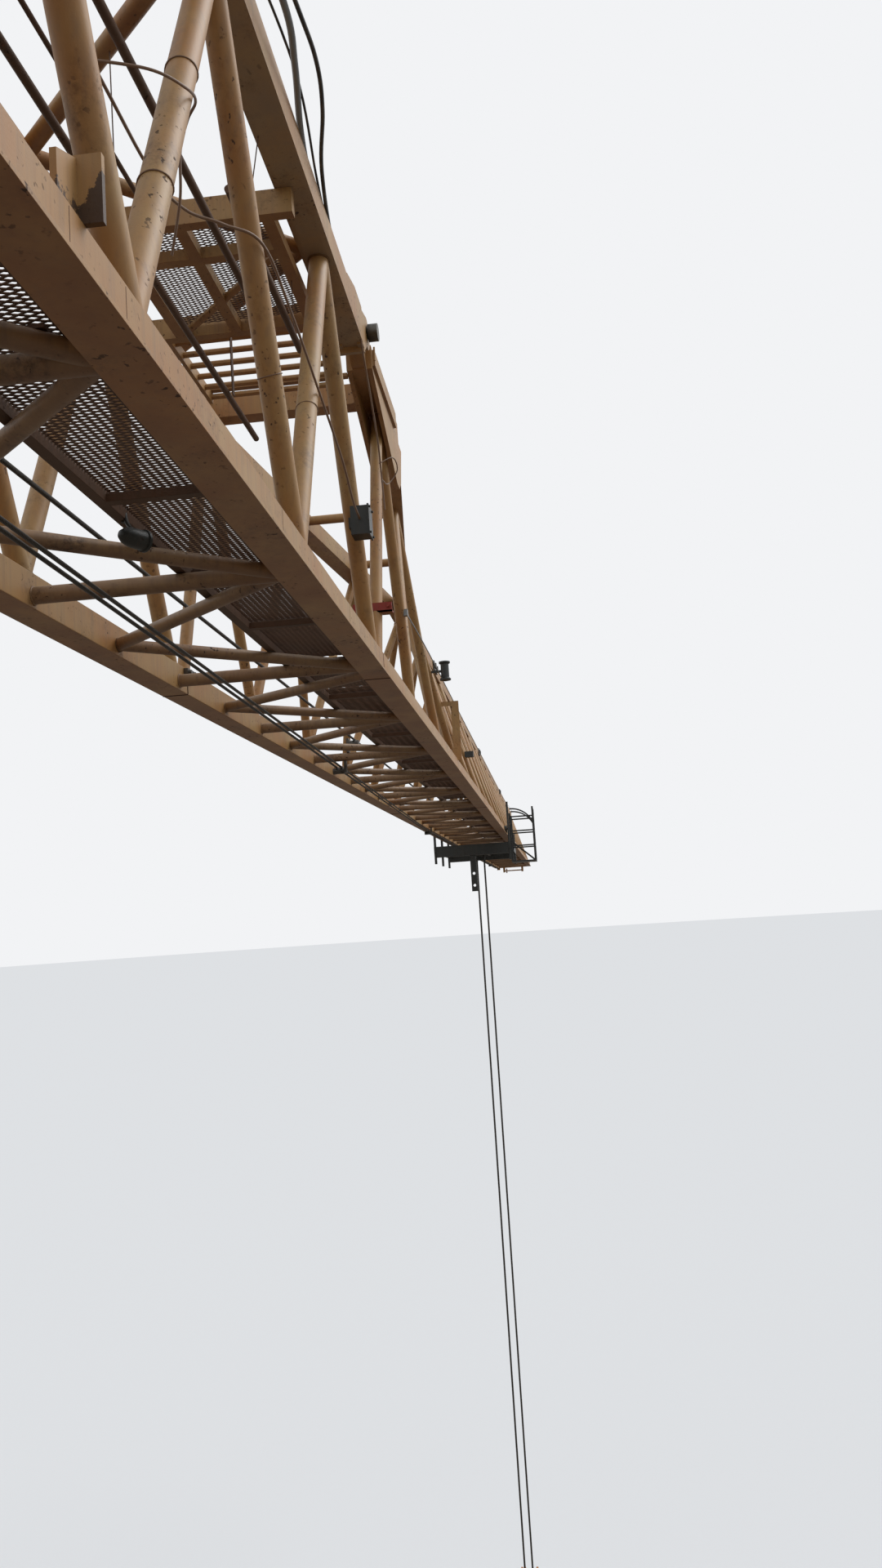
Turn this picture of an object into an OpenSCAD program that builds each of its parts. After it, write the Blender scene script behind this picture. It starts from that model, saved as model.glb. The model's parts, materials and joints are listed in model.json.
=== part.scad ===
// Tower crane without a tower top (flat top), as a 1:2 scale model. All sizes are the model's own millimetres.
// The jib runs along +X and the counter-jib along -X. The origin is under the middle of the base cross.

/* [Base] */
// Length of each beam of the base cross
base_span = 3400; // [3000:50:3800]
// Width of the base beams
base_beam_w = 150; // [120:10:180]
// Height of the base beams
base_beam_h = 200; // [160:10:240]
// Side of the square anchor plates
anchor_plate = 300; // [270:10:340]
// Thickness of the anchor plates
anchor_t = 20; // [15:1:30]
// Radius of the anchor bolt holes
anchor_hole_r = 14; // [10:1:16]
// Spacing of the four anchor bolts of a plate
anchor_pitch = 220; // [200:5:230]
// Diameter of the raking base struts
strut_d = 60; // [50:2:70]

/* [Mast] */
// Number of standard mast sections
mast_sections = 6; // [5:1:8]
// Height of one mast section
section_h = 1500; // [1400:50:1600]
// Outside width of the mast
mast_w = 840; // [800:10:880]
// Side of the square mast legs
leg_w = 72; // [66:2:80]
// Side of the bolting sleeves at the leg joints
sleeve_w = 104; // [98:2:112]
// Length of the bolting sleeves
sleeve_l = 200; // [180:10:220]
// Diameter of the mast lacing tubes
mast_tube_d = 38; // [32:1:42]
// Distance between the ladder rails
ladder_w = 210; // [180:10:240]
// Spacing of the ladder rungs
rung_step = 150; // [125:5:170]

/* [Slewing] */
// Height of the lower slewing support
support_h = 480; // [440:20:560]
// Outer radius of the slewing ring
ring_r = 400; // [380:10:420]
// Height of the slewing ring
ring_h = 80; // [70:5:90]
// Height of the turntable box
turn_h = 220; // [200:10:260]
// Height from the turntable to the underside of the jib
neck_h = 420; // [400:10:480]
// Width of the slewing tower across the jib
tower_w = 700; // [690:5:720]
// Length of the slewing tower along the jib
tower_l = 760; // [720:10:800]
// Side of the slewing tower's posts
post_w = 90; // [80:2:100]

/* [Jib] */
// Length of one jib section
jib_section = 5000; // [4800:20:5200]
// Number of plain sections after the tapering one
plain_sections = 3; // [2:1:3]
// Overall width over the runway ledges of the bottom chords
jib_w = 710; // [690:2:730]
// Height from the underside of the jib to the top of the top chords
jib_h = 1092; // [1050:2:1130]
// Width of the bottom chord box
chord_w = 62; // [58:1:68]
// Height of the bottom chord box
chord_h = 80; // [76:1:88]
// How far the runway ledge stands out of the bottom chord
ledge_w = 18; // [16:1:20]
// Thickness of the runway ledge
ledge_t = 7; // [6:1:9]
// Width of the top chords
top_w = 82; // [76:1:88]
// Height of the top chords
top_h = 78; // [72:1:84]
// Width of the single top chord
apex_w = 78; // [70:1:84]
// Diameter of the side lacing tubes in the root section
root_tube_d = 50; // [44:1:54]
// Diameter of the side lacing tubes in the other sections
side_tube_d = 40; // [36:1:44]
// Diameter of the bottom lacing tubes
floor_tube_d = 38; // [34:1:42]
// Distance from one lacing foot to the next
foot_step = 1000; // [980:5:1010]
// Distance from the last lacing foot of a section to its end
foot_end = 75; // [60:5:90]
// Length of the straight knuckle after the first joint
knuckle_l = 700; // [640:10:760]
// Length over which the two top chords run together
merge_l = 2450; // [2300:50:2600]
// Diameter of the jib's joint pins
pin_d = 36; // [30:1:40]
// Height of the first joint's pins over the middle of the top chords
pin_rise = 42; // [34:1:50]
// Width of the walkway inside the jib
walk_w = 230; // [210:5:250]
// Thickness of the walkway mesh
mesh_t = 4; // [3:1:5]

/* [Trolley and hook] */
// Distance from the slewing axis to the middle of the trolley at rest
trolley_x = 14700; // [13000:50:16000]
// Length of the trolley frame
trolley_l = 1600; // [1400:20:1700]
// Diameter of the trolley wheels
wheel_d = 72; // [64:2:76]
// Running clearance between the trolley and the jib
run_gap = 8; // [6:1:12]
// Width of the service cage on the trolley
cage_w = 250; // [230:5:270]
// Height of the service cage
cage_h = 550; // [500:5:600]
// Length of the service cage
cage_l = 420; // [380:10:460]
// Distance of the rope sheaves from the trolley's middle
fall_x = 450; // [400:10:500]
// Diameter of the hoist rope
rope_d = 10; // [8:1:12]
// Height of the hook above the underside of the base
hook_z = 2200; // [1800:50:2600]

/* [Counter-jib] */
// Length of the counter-jib behind the slewing axis
counter_l = 6400; // [6000:50:6800]
// Length of the deep truss behind the slewing tower
truss_l = 2600; // [2400:50:2800]
// Height of the counter-jib beams
counter_beam_h = 130; // [120:5:150]
// Number of counterweight slabs
slab_count = 6; // [4:1:6]
// Thickness of one counterweight slab
slab_t = 165; // [150:5:175]
// Height of the counterweight slabs
slab_h = 1000; // [900:25:1100]
// Height of the hand rails
rail_h = 520; // [480:10:560]

/* [Cab] */
// Length of the cab
cab_l = 760; // [720:10:800]
// Width of the cab
cab_w = 620; // [580:10:660]
// Height of the cab
cab_h = 1050; // [1000:10:1100]
// Thickness of the cab walls
cab_wall = 22; // [18:1:28]

/* [Hidden] */
$fn = 32;
gap = 0.3;
lace_sides = 8;

mast_top = base_beam_h + mast_sections * section_h;
support_top = mast_top + support_h;
ring_top = support_top + ring_h;
turn_top = ring_top + turn_h;
jib_z = turn_top + neck_h;
leg_c = mast_w / 2 - leg_w / 2;
jib_top = jib_z + jib_h;
top_z = jib_top - top_h;
chord_top = jib_z + chord_h;
chord_y = jib_w / 2 - ledge_w - chord_w / 2;
chord_in = chord_y - chord_w / 2;
chord_out = chord_y + chord_w / 2;
root_x = tower_l / 2 + 160;
joint_1 = root_x + jib_section;
bend = joint_1 + knuckle_l;
merge = bend + merge_l;
taper_end = joint_1 + jib_section;
jib_end = taper_end + plain_sections * jib_section;
pin_x = root_x - 110;
beam_w = 90;
deck_z = jib_z - 10 + counter_beam_h;
deck_t = 14;
slab_gap = 8;
slab_x0 = -counter_l + 110;
slab_x1 = slab_x0 + slab_count * (slab_t + slab_gap);
cabinet_x = -root_x - truss_l - 520;
winch_to_cabinet = 440;
winch_x = cabinet_x - winch_to_cabinet;
winch_z = deck_z + deck_t + 250;
drum_r = 150;
cabinet_h = 520;
cabinet_l = 300;
cabinet_w = 280;
joint_gap = 4;
clevis_l = 70;
cheek_t = 18;
floor_z = jib_z + 10 + floor_tube_d / 2;
starts = [for (i = [0:plain_sections + 1]) root_x + i * jib_section];
sheave_r = 70;
sheave_x = 150;
sheave_y = 50;
sheave_z = jib_z - 145;
hook_top = hook_z + 420;
feet_n = ceil((jib_section - foot_end) / foot_step - 0.3);
// Stations of one section, from its start: the feet on the near side and the points between them
foot_x = [60, for (k = [1:feet_n]) jib_section - foot_end - (feet_n - k) * foot_step];
peak_x = [for (k = [0:feet_n - 1]) jib_section - foot_end - (feet_n - k - 0.5) * foot_step];
// The trolley winch stands this far before the first rope guide, and the walkway begins this far past the winch
winch_to_guide = 425;
winch_to_walk = 500;
trolley_winch_x = starts[0] + foot_x[2] - winch_to_guide;
trolley_drum_r = 90;
trolley_drum_z = 200;
// The trolley's lines drop from the winch drum at this place
drop_x = trolley_winch_x + trolley_drum_r + rope_d / 2 + gap;
drop_y = 30;
turn_r = 10;
// Pin of the first joint and the round heads of its lugs
pin_z = top_z + top_h / 2 + pin_rise;
lug_r = 50;
// Distance of a top chord's middle line from the jib's centre plane
merge_y = top_w / 2;
function top_y(x) = x <= bend ? chord_y : x < merge ? chord_y + (merge_y - chord_y) * (x - bend) / merge_l : 22;

module block(lo, hi) {
    translate(lo) cube(hi - lo);
}
module between(p, q) {
    d = q - p;
    translate(p) rotate([0, acos(d[2] / norm(d)), atan2(d[1], d[0])]) children();
}
module rod(p, q, r, sides = 32) {
    between(p, q) rotate(180 / sides) cylinder(r = r, h = norm(q - p), $fn = sides);
}
// Straight tube whose ends run on, so that a trim can cut them flush
module long_rod(p, q, r, sides = 32) {
    d = (q - p) / norm(q - p);
    rod(p - d * 3 * r, q + d * 3 * r, r, sides);
}
// The same with an edge on top, so that the flats of crossing tubes never lie in one plane
module turned_rod(p, q, r) {
    d = (q - p) / norm(q - p);
    between(p - d * 3 * r, q + d * 3 * r) cylinder(r = r, h = norm(q - p) + 6 * r, $fn = lace_sides);
}
module rod_y(x, z, y0, y1, r) {
    translate([x, y1, z]) rotate([90, 0, 0]) cylinder(r = r, h = y1 - y0);
}
module rod_x(x0, x1, y, z, r) {
    translate([x0, y, z]) rotate([0, 90, 0]) cylinder(r = r, h = x1 - x0);
}
module both_sides() {
    children();
    mirror([0, 1, 0]) children();
}

// Base cross of two box beams under the legs, with an anchor plate under each end
// and a strut up to each leg's first joint
module base_cross() {
    reach = base_span / 2;
    plate_x = reach - anchor_plate / 2;
    strut_foot = (plate_x - anchor_plate / 2 - strut_d) / sqrt(2);
    strut_head = leg_c + sleeve_w / 2;
    strut_top = base_beam_h + section_h;
    color("goldenrod") {
        difference() {
            union() {
                for (a = [45, 135]) rotate(a)
                    block([-reach, -base_beam_w / 2, 0], [reach, base_beam_w / 2, base_beam_h]);
                for (a = [45:90:315]) rotate(a)
                    block([plate_x - anchor_plate / 2, -anchor_plate / 2, 0],
                        [reach, anchor_plate / 2, anchor_t]);
                for (a = [0:90:270]) rotate(a)
                    block([-leg_c, leg_c - leg_w / 2, 0], [leg_c, leg_c + leg_w / 2, base_beam_h - 30]);
            }
            for (a = [45:90:315], sx = [-1, 1], sy = [-1, 1]) rotate(a)
                translate([plate_x + sx * anchor_pitch / 2, sy * anchor_pitch / 2, -1])
                    cylinder(r = anchor_hole_r, h = anchor_t + 2);
        }
        for (sx = [-1, 1], sy = [-1, 1]) difference() {
            rod([sx * strut_foot, sy * strut_foot, base_beam_h - 20],
                [sx * strut_head, sy * strut_head, strut_top], strut_d / 2);
            translate([sx * leg_c, sy * leg_c, 0])
                block([-sleeve_w / 2 - gap, -sleeve_w / 2 - gap, strut_top - sleeve_l / 2 - gap],
                      [sleeve_w / 2 + gap, sleeve_w / 2 + gap, strut_top + sleeve_l / 2]);
        }
    }
}

// Four legs with their bolting sleeves
module mast_legs() {
    color("goldenrod") for (sx = [-1, 1], sy = [-1, 1]) translate([sx * leg_c, sy * leg_c, 0]) {
        block([-leg_w / 2, -leg_w / 2, base_beam_h], [leg_w / 2, leg_w / 2, mast_top]);
        for (i = [0:mast_sections]) {
            joint_z = base_beam_h + i * section_h;
            block([-sleeve_w / 2, -sleeve_w / 2, max(joint_z - sleeve_l / 2, base_beam_h)],
                  [sleeve_w / 2, sleeve_w / 2, min(joint_z + sleeve_l / 2, mast_top)]);
        }
    }
}

// One side of the mast's lacing, two bays a section, each with a horizontal and a diagonal
module mast_lacing() {
    r = mast_tube_d / 2;
    inner = leg_c - leg_w / 2;
    bay = section_h / 2;
    edge = sleeve_l / 2 + r + 10;
    color("goldenrod") for (i = [0:mast_sections - 1]) {
        low = base_beam_h + i * section_h;
        levels = [low + edge, low + bay, low + section_h - edge];
        intersection() {
            block([-inner, leg_c - 60, low], [inner, leg_c + 60, low + section_h]);
            union() {
                for (z = levels) rod([-inner - 5, leg_c, z], [inner + 5, leg_c, z], r, lace_sides);
                for (k = [0, 1]) {
                    s = k == 0 ? 1 : -1;
                    long_rod([-s * inner, leg_c, levels[k] + 2 * r],
                        [s * inner, leg_c, levels[k + 1] - 2 * r], r, lace_sides);
                }
            }
        }
    }
}

module mast_lacing_front() {
    rotate(-90) mast_lacing();
}
module mast_lacing_back() {
    rotate(90) mast_lacing();
}
module mast_lacing_left() {
    mast_lacing();
}
module mast_lacing_right() {
    rotate(180) mast_lacing();
}

// Ladder inside the mast, clipped to the back lacing
module mast_ladder() {
    y = leg_c - mast_tube_d / 2 - 110;
    clip_end = leg_c - mast_tube_d / 2 - gap;
    color("darkgray") rotate(90) {
        for (s = [-1, 1]) block([s * ladder_w / 2 - 6, y - 18, base_beam_h + gap],
            [s * ladder_w / 2 + 6, y + 18, mast_top + support_h / 2]);
        for (z = [base_beam_h + rung_step:rung_step:mast_top + support_h / 2 - 20])
            rod([-ladder_w / 2, y, z], [ladder_w / 2, y, z], 7, lace_sides);
        for (i = [0:mast_sections - 1], s = [-1, 1])
            block([s * ladder_w / 2 - 6, y + 17, base_beam_h + i * section_h + section_h / 2 - 10],
                  [s * ladder_w / 2 + 6, clip_end, base_beam_h + i * section_h + section_h / 2 + 10]);
    }
}

// Lower slewing support, a hollow box with hand holes under the ring's seat
module slewing_support() {
    half = mast_w / 2;
    color("goldenrod") difference() {
        union() {
            block([-half - 20, -half - 20, mast_top], [half + 20, half + 20, mast_top + 50]);
            block([-half + 30, -half + 30, mast_top + 50], [half - 30, half - 30, support_top - 30]);
            translate([0, 0, support_top - 30]) cylinder(r = ring_r + 30, h = 30, $fn = 64);
        }
        translate([0, 0, mast_top - 1]) cylinder(r = ring_r - 90, h = support_h + 2, $fn = 64);
        for (a = [0, 90]) rotate(a) block([-mast_w, -120, mast_top + 130], [mast_w, 120, support_top - 110]);
    }
}

// Slewing ring with its outer teeth
module slewing_ring() {
    teeth = 72;
    color("dimgray") difference() {
        union() {
            translate([0, 0, support_top]) cylinder(r = ring_r - 14, h = ring_h, $fn = 64);
            for (i = [0:teeth - 1]) rotate(i * 360 / teeth)
                translate([ring_r - 16, -7, support_top + 10]) cube([16, 14, ring_h - 30]);
        }
        translate([0, 0, support_top - 1]) cylinder(r = ring_r - 90, h = ring_h + 2, $fn = 64);
    }
}

// Turntable box that turns on the ring
module turntable() {
    low = ring_top + gap;
    half_x = tower_l / 2 + 30;
    half_y = tower_w / 2 + 30;
    color("goldenrod") difference() {
        union() {
            translate([0, 0, low]) cylinder(r = ring_r - 20, h = 24, $fn = 64);
            block([-half_x, -half_y, low + 24], [half_x, half_y, turn_top]);
            for (s = [-1, 1]) translate([0, s * (ring_r + 34), low + 24])
                cylinder(r = 90, h = turn_h - 24 - gap);
        }
        translate([0, 0, low - 1]) cylinder(r = ring_r - 130, h = turn_h + 2, $fn = 64);
        for (s = [-1, 1]) translate([0, s * (ring_r + 34), low]) cylinder(r = 22, h = turn_h + 2);
    }
}

// Two slewing drives, each a pinion beside the ring with its gearbox and motor above
module slew_motors() {
    color("slategray") for (s = [-1, 1]) translate([0, s * (ring_r + 34), 0]) {
        translate([0, 0, support_top + 12]) cylinder(r = 26, h = ring_h - 24, $fn = 24);
        translate([0, 0, support_top + 12]) cylinder(r = 18, h = turn_top - support_top - 12 + 10);
        translate([0, 0, turn_top + gap]) cylinder(r = 76, h = 22);
        translate([0, 0, turn_top + 22]) cylinder(r = 58, h = 120);
        translate([0, 0, turn_top + 142]) cylinder(r = 64, h = 130);
        translate([0, 0, turn_top + 272]) cylinder(r = 46, h = 26);
    }
}

// Slewing tower: four posts with cross beams, which carries the jib and the counter-jib
module slewing_tower() {
    half_x = tower_l / 2;
    half_y = tower_w / 2;
    levels = [turn_top + gap, jib_z - 20, top_z];
    color("goldenrod") {
        for (sx = [-1, 1], sy = [-1, 1])
            block([sx * (half_x - post_w / 2) - post_w / 2, sy * (half_y - post_w / 2) - post_w / 2,
                turn_top + gap],
                  [sx * (half_x - post_w / 2) + post_w / 2, sy * (half_y - post_w / 2) + post_w / 2, jib_top]);
        for (z = levels) {
            for (s = [-1, 1]) {
                block([-half_x + 5, s * (half_y - post_w / 2) - 35, z],
                    [half_x - 5, s * (half_y - post_w / 2) + 35, z + 70]);
                block([s * (half_x - post_w / 2) - 35, -half_y + 5, z],
                    [s * (half_x - post_w / 2) + 35, half_y - 5, z + 70]);
            }
        }
        // Diagonals in the two long sides
        for (s = [-1, 1])
            intersection() {
                block([-half_x + 5, s * (half_y - post_w / 2) - 30, jib_z],
                    [half_x - 5, s * (half_y - post_w / 2) + 30, jib_top - 10]);
                long_rod([-half_x + post_w, s * (half_y - post_w / 2), jib_z + 60],
                    [half_x - post_w, s * (half_y - post_w / 2), top_z], 26, lace_sides);
            }
        // Lugs that hold the jib and the counter-jib
        for (sx = [-1, 1], sy = [-1, 1], z = [jib_z + chord_h / 2, top_z + top_h / 2])
            difference() {
                block([sx > 0 ? half_x - 1 : -pin_x - 38, sy * chord_y - 12, z - 38],
                      [sx > 0 ? pin_x + 38 : -half_x + 1, sy * chord_y + 12, z + 38]);
                rod_y(sx * pin_x, z, -half_y, half_y, pin_d / 2 + gap);
            }
    }
}

// Cab beside the slewing tower, on the near side under the jib root
cab_x0 = tower_l / 2 + 60;
cab_y1 = -tower_w / 2 - 60;
cab_z = turn_top - 40;
glass_t = 8;
cab_rake = 170;
cab_knee = 340;
module cab_side(edge) {
    // Side outline, edge inside the cab's skin: upright above, drawn in below the knee
    polygon([[edge, edge], [cab_l - cab_rake - edge * 0.6, edge], [cab_l - edge, cab_knee + edge * 0.3],
             [cab_l - edge, cab_h - edge], [edge, cab_h - edge]]);
}
module cab_plate(y, depth) {
    translate([cab_x0, y + depth, cab_z]) rotate([90, 0, 0]) linear_extrude(depth) children();
}
module raked_pane(thick) {
    // Middle of the raked front, thick across the wall
    t = [0.14, 0.86];
    out = [cab_knee, -cab_rake] / norm([cab_knee, cab_rake]);
    mid = [cab_l - cab_rake, 0] - out * cab_wall / 2;
    a = mid + t[0] * [cab_rake, cab_knee];
    b = mid + t[1] * [cab_rake, cab_knee];
    polygon([a - out * thick / 2, a + out * thick / 2, b + out * thick / 2, b - out * thick / 2]);
}
module cab_shell() {
    color("goldenrod") {
        difference() {
            cab_plate(cab_y1 - cab_w, cab_w) cab_side(0);
            cab_plate(cab_y1 - cab_w + cab_wall, cab_w - 2 * cab_wall) cab_side(cab_wall);
            // Front, raked front, side and rear windows
            block([cab_x0 + cab_l / 2, cab_y1 - cab_w + 50, cab_z + cab_knee + 50],
                [cab_x0 + cab_l + 1, cab_y1 - 50, cab_z + cab_h - 70]);
            cab_plate(cab_y1 - cab_w + 50, cab_w - 100) raked_pane(3 * cab_wall);
            block([cab_x0 + cab_l / 2 - 60, cab_y1 - cab_w - 1, cab_z + 400],
                [cab_x0 + cab_l - 60, cab_y1 + 1, cab_z + cab_h - 70]);
            block([cab_x0 + 60, cab_y1 - cab_w - 1, cab_z + 480],
                [cab_x0 + cab_l / 2 - 110, cab_y1 + 1, cab_z + cab_h - 90]);
        }
        // Roof plate that stands over the walls
        block([cab_x0 - 20, cab_y1 - cab_w - 20, cab_z + cab_h - 1],
            [cab_x0 + cab_l + 40, cab_y1 + 20, cab_z + cab_h + 24]);
    }
}

// Panes seated in the cab's windows
module cab_windows() {
    color("lightsteelblue") {
        block([cab_x0 + cab_l - cab_wall / 2 - glass_t / 2, cab_y1 - cab_w + 50, cab_z + cab_knee + 50],
              [cab_x0 + cab_l - cab_wall / 2 + glass_t / 2, cab_y1 - 50, cab_z + cab_h - 70]);
        cab_plate(cab_y1 - cab_w + 50, cab_w - 100) raked_pane(glass_t);
        for (y = [cab_y1 - cab_wall / 2, cab_y1 - cab_w + cab_wall / 2]) {
            block([cab_x0 + cab_l / 2 - 60, y - glass_t / 2, cab_z + 400],
                [cab_x0 + cab_l - 60, y + glass_t / 2, cab_z + cab_h - 70]);
            block([cab_x0 + 60, y - glass_t / 2, cab_z + 480],
                [cab_x0 + cab_l / 2 - 110, y + glass_t / 2, cab_z + cab_h - 90]);
        }
    }
}

// Bracket beams and walkway that carry the cab
module cab_platform() {
    low = cab_z - 70;
    color("goldenrod") {
        for (x = [cab_x0 + 60, cab_x0 + cab_l - cab_rake - 100])
            block([x, cab_y1 - cab_w, low], [x + 60, cab_y1 + 21, cab_z - gap]);
        block([tower_l / 2 + 31, cab_y1 + 20, low], [cab_x0 + cab_l - 60, -tower_w / 2 + 60, low + 60]);
        block([tower_l / 2 + 30 + gap, -tower_w / 2 + 60, low],
            [cab_x0 + cab_l - 60, -tower_w / 2 + 120, low + 60]);
    }
}

// Counter-jib beams with their cross members
module counter_jib_beams() {
    low = jib_z - 10;
    color("goldenrod") difference() {
        union() {
            for (s = [-1, 1])
                block([-counter_l, s * chord_y - beam_w / 2, low],
                    [-pin_x + 20, s * chord_y + beam_w / 2, deck_z]);
            for (x = [-counter_l, slab_x1 + 80, winch_x + 200, -truss_l - root_x, -root_x - 300])
                block([x, -chord_y, low + 20], [x + 80, chord_y, deck_z - 20]);
        }
        for (s = [-1, 1]) {
            block([-pin_x - 50, s * chord_y - 13, low - 5], [-pin_x + 25, s * chord_y + 13, deck_z + 5]);
            rod_y(-pin_x, jib_z + chord_h / 2, s * chord_y - 60, s * chord_y + 60, pin_d / 2 + gap);
        }
    }
}

// Deep truss that stiffens the counter-jib behind the slewing tower
module counter_jib_truss() {
    low = jib_z - 10 + counter_beam_h;
    end = -root_x - truss_l;
    n = 3;
    bay = truss_l / n;
    color("goldenrod") both_sides() {
        difference() {
            block([end, chord_y - top_w / 2, top_z], [-pin_x + 20, chord_y + top_w / 2, jib_top]);
            block([-pin_x - 50, chord_y - 13, top_z - 5], [-pin_x + 25, chord_y + 13, jib_top + 5]);
            rod_y(-pin_x, top_z + top_h / 2, chord_y - 60, chord_y + 60, pin_d / 2 + gap);
        }
        block([end, chord_y - 35, low], [end + 70, chord_y + 35, top_z + 5]);
        intersection() {
            block([end, chord_y - 60, low], [-root_x, chord_y + 60, top_z + 5]);
            for (i = [0:n - 1]) {
                long_rod([end + 50 + i * bay, chord_y, low], [end + (i + 1) * bay, chord_y, top_z],
                    root_tube_d / 2, lace_sides);
                if (i > 0) rod([end + 50 + i * bay, chord_y, low - 5],
                    [end + 50 + i * bay, chord_y, top_z + 4], side_tube_d / 2, lace_sides);
            }
        }
        for (x = [end + 10, end + bay]) block([x, -1, top_z + 10], [x + 50, chord_y, top_z + 60]);
    }
}

// Deck plates on the counter-jib, with a narrow strip past each side of the slabs
module counter_jib_deck() {
    strip = chord_y + beam_w / 2 + 12;
    side = chord_y + 180;
    color("dimgray") {
        block([slab_x1 + 60, -side, deck_z], [-root_x - truss_l - 10, side, deck_z + deck_t]);
        for (s = [-1, 1]) {
            block([-counter_l, min(s * strip, s * side), deck_z],
                [slab_x1 + 61, max(s * strip, s * side), deck_z + deck_t]);
            for (x = [-counter_l + 20, slab_x1 - 100])
                block([x, min(s * (chord_y + beam_w / 2), s * side), deck_z - 60],
                    [x + 50, max(s * (chord_y + beam_w / 2), s * side), deck_z]);
        }
        block([-root_x - truss_l - 10 - gap, -chord_in + 20, deck_z],
            [-root_x - 120, chord_in - 20, deck_z + deck_t]);
    }
}

// Hand rails round the deck
module counter_jib_rails() {
    z0 = deck_z + deck_t;
    x0 = -counter_l + 20;
    x1 = -root_x - truss_l - 40;
    y = chord_y + 165;
    n = 6;
    color("gold") {
        for (i = [0:n], s = [-1, 1]) {
            x = x0 + (x1 - x0) * i / n;
            block([x - 10, s * y - 10, z0], [x + 10, s * y + 10, z0 + rail_h]);
        }
        for (h = [rail_h / 2, rail_h - 14]) {
            for (s = [-1, 1]) rod_x(x0 - 10, x1 + 10, s * y, z0 + h, 8);
            rod_y(x0, z0 + h, -y, y, 8);
        }
    }
}

// Concrete slabs that hang between the beams, each on two ears that rest on the beams
module counterweights() {
    body = chord_y - beam_w / 2 - 12;
    ear = chord_y + beam_w / 2;
    color("gray") for (i = [0:slab_count - 1]) {
        x = slab_x0 + i * (slab_t + slab_gap);
        block([x, -body, deck_z + 90 - slab_h], [x + slab_t, body, deck_z + 90]);
        block([x, -ear, deck_z + gap], [x + slab_t, ear, deck_z + 90]);
    }
}

// Hoist winch: a frame on the deck with bearing plates, a gearbox and a motor
module hoist_winch() {
    low = deck_z + deck_t + gap;
    color("slategray") difference() {
        union() {
            block([winch_x - 330, -290, low], [winch_x + 330, -234, low + 60]);
            block([winch_x - 330, 260, low], [winch_x + 330, 320, low + 60]);
            for (x = [winch_x - 330, winch_x + 270]) block([x, -260, low], [x + 60, 320, low + 50]);
            for (y = [-260, 260]) block([winch_x - 150, y, low], [winch_x + 150, y + 26, winch_z + 60]);
            // Gearbox and motor beside the drum
            block([winch_x - 130, 286, low + 60], [winch_x + 130, 420, winch_z + 130]);
            rod_x(winch_x + 129, winch_x + 420, 350, winch_z, 92);
        }
        rod_y(winch_x, winch_z, -300, 300, 32);
    }
}

// Drum with its flanges and shaft
module winch_drum() {
    color("dimgray") {
        rod_y(winch_x, winch_z, -226, 252, drum_r);
        for (y = [-228, 234]) rod_y(winch_x, winch_z, y, y + 20, drum_r + 50);
        rod_y(winch_x, winch_z, -275, 285, 32 - gap);
    }
}

// Electric cabinet on the near side of the deck, clear of the hoist rope, on two feet and with a rain roof
module electric_cabinet() {
    low = deck_z + deck_t + gap;
    x = cabinet_x;
    y = -300;
    foot = 40;
    eaves = 10;
    roof_z = low + foot + cabinet_h;
    color("silver") {
        block([x, y, low + foot], [x + cabinet_l, y + cabinet_w, roof_z]);
        for (dy = [20, cabinet_w - 20 - foot])
            block([x + eaves, y + dy, low], [x + cabinet_l - eaves, y + dy + foot, low + foot + 1]);
        block([x - eaves, y - eaves, roof_z], [x + cabinet_l + eaves, y + cabinet_w + eaves, roof_z + 15]);
    }
}

// One bottom chord: a box with its runway ledge in every section, and the root's fork
module bottom_chord() {
    color("goldenrod") difference() {
        for (i = [0:len(starts) - 1]) {
            x0 = i == 0 ? pin_x - 20 : starts[i] + joint_gap / 2;
            x1 = starts[i] + jib_section - joint_gap / 2;
            block([x0, chord_in, jib_z], [x1, chord_out, chord_top]);
            block([max(x0, root_x), chord_out - 1, jib_z], [x1, jib_w / 2, jib_z + ledge_t]);
        }
        block([pin_x - 25, chord_y - 13, jib_z - 5], [pin_x + 50, chord_y + 13, chord_top + 5]);
        rod_y(pin_x, jib_z + chord_h / 2, chord_y - 60, chord_y + 60, pin_d / 2 + gap);
    }
}
module near_bottom_chord() {
    mirror([0, 1, 0]) bottom_chord();
}
module far_bottom_chord() {
    bottom_chord();
}

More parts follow.
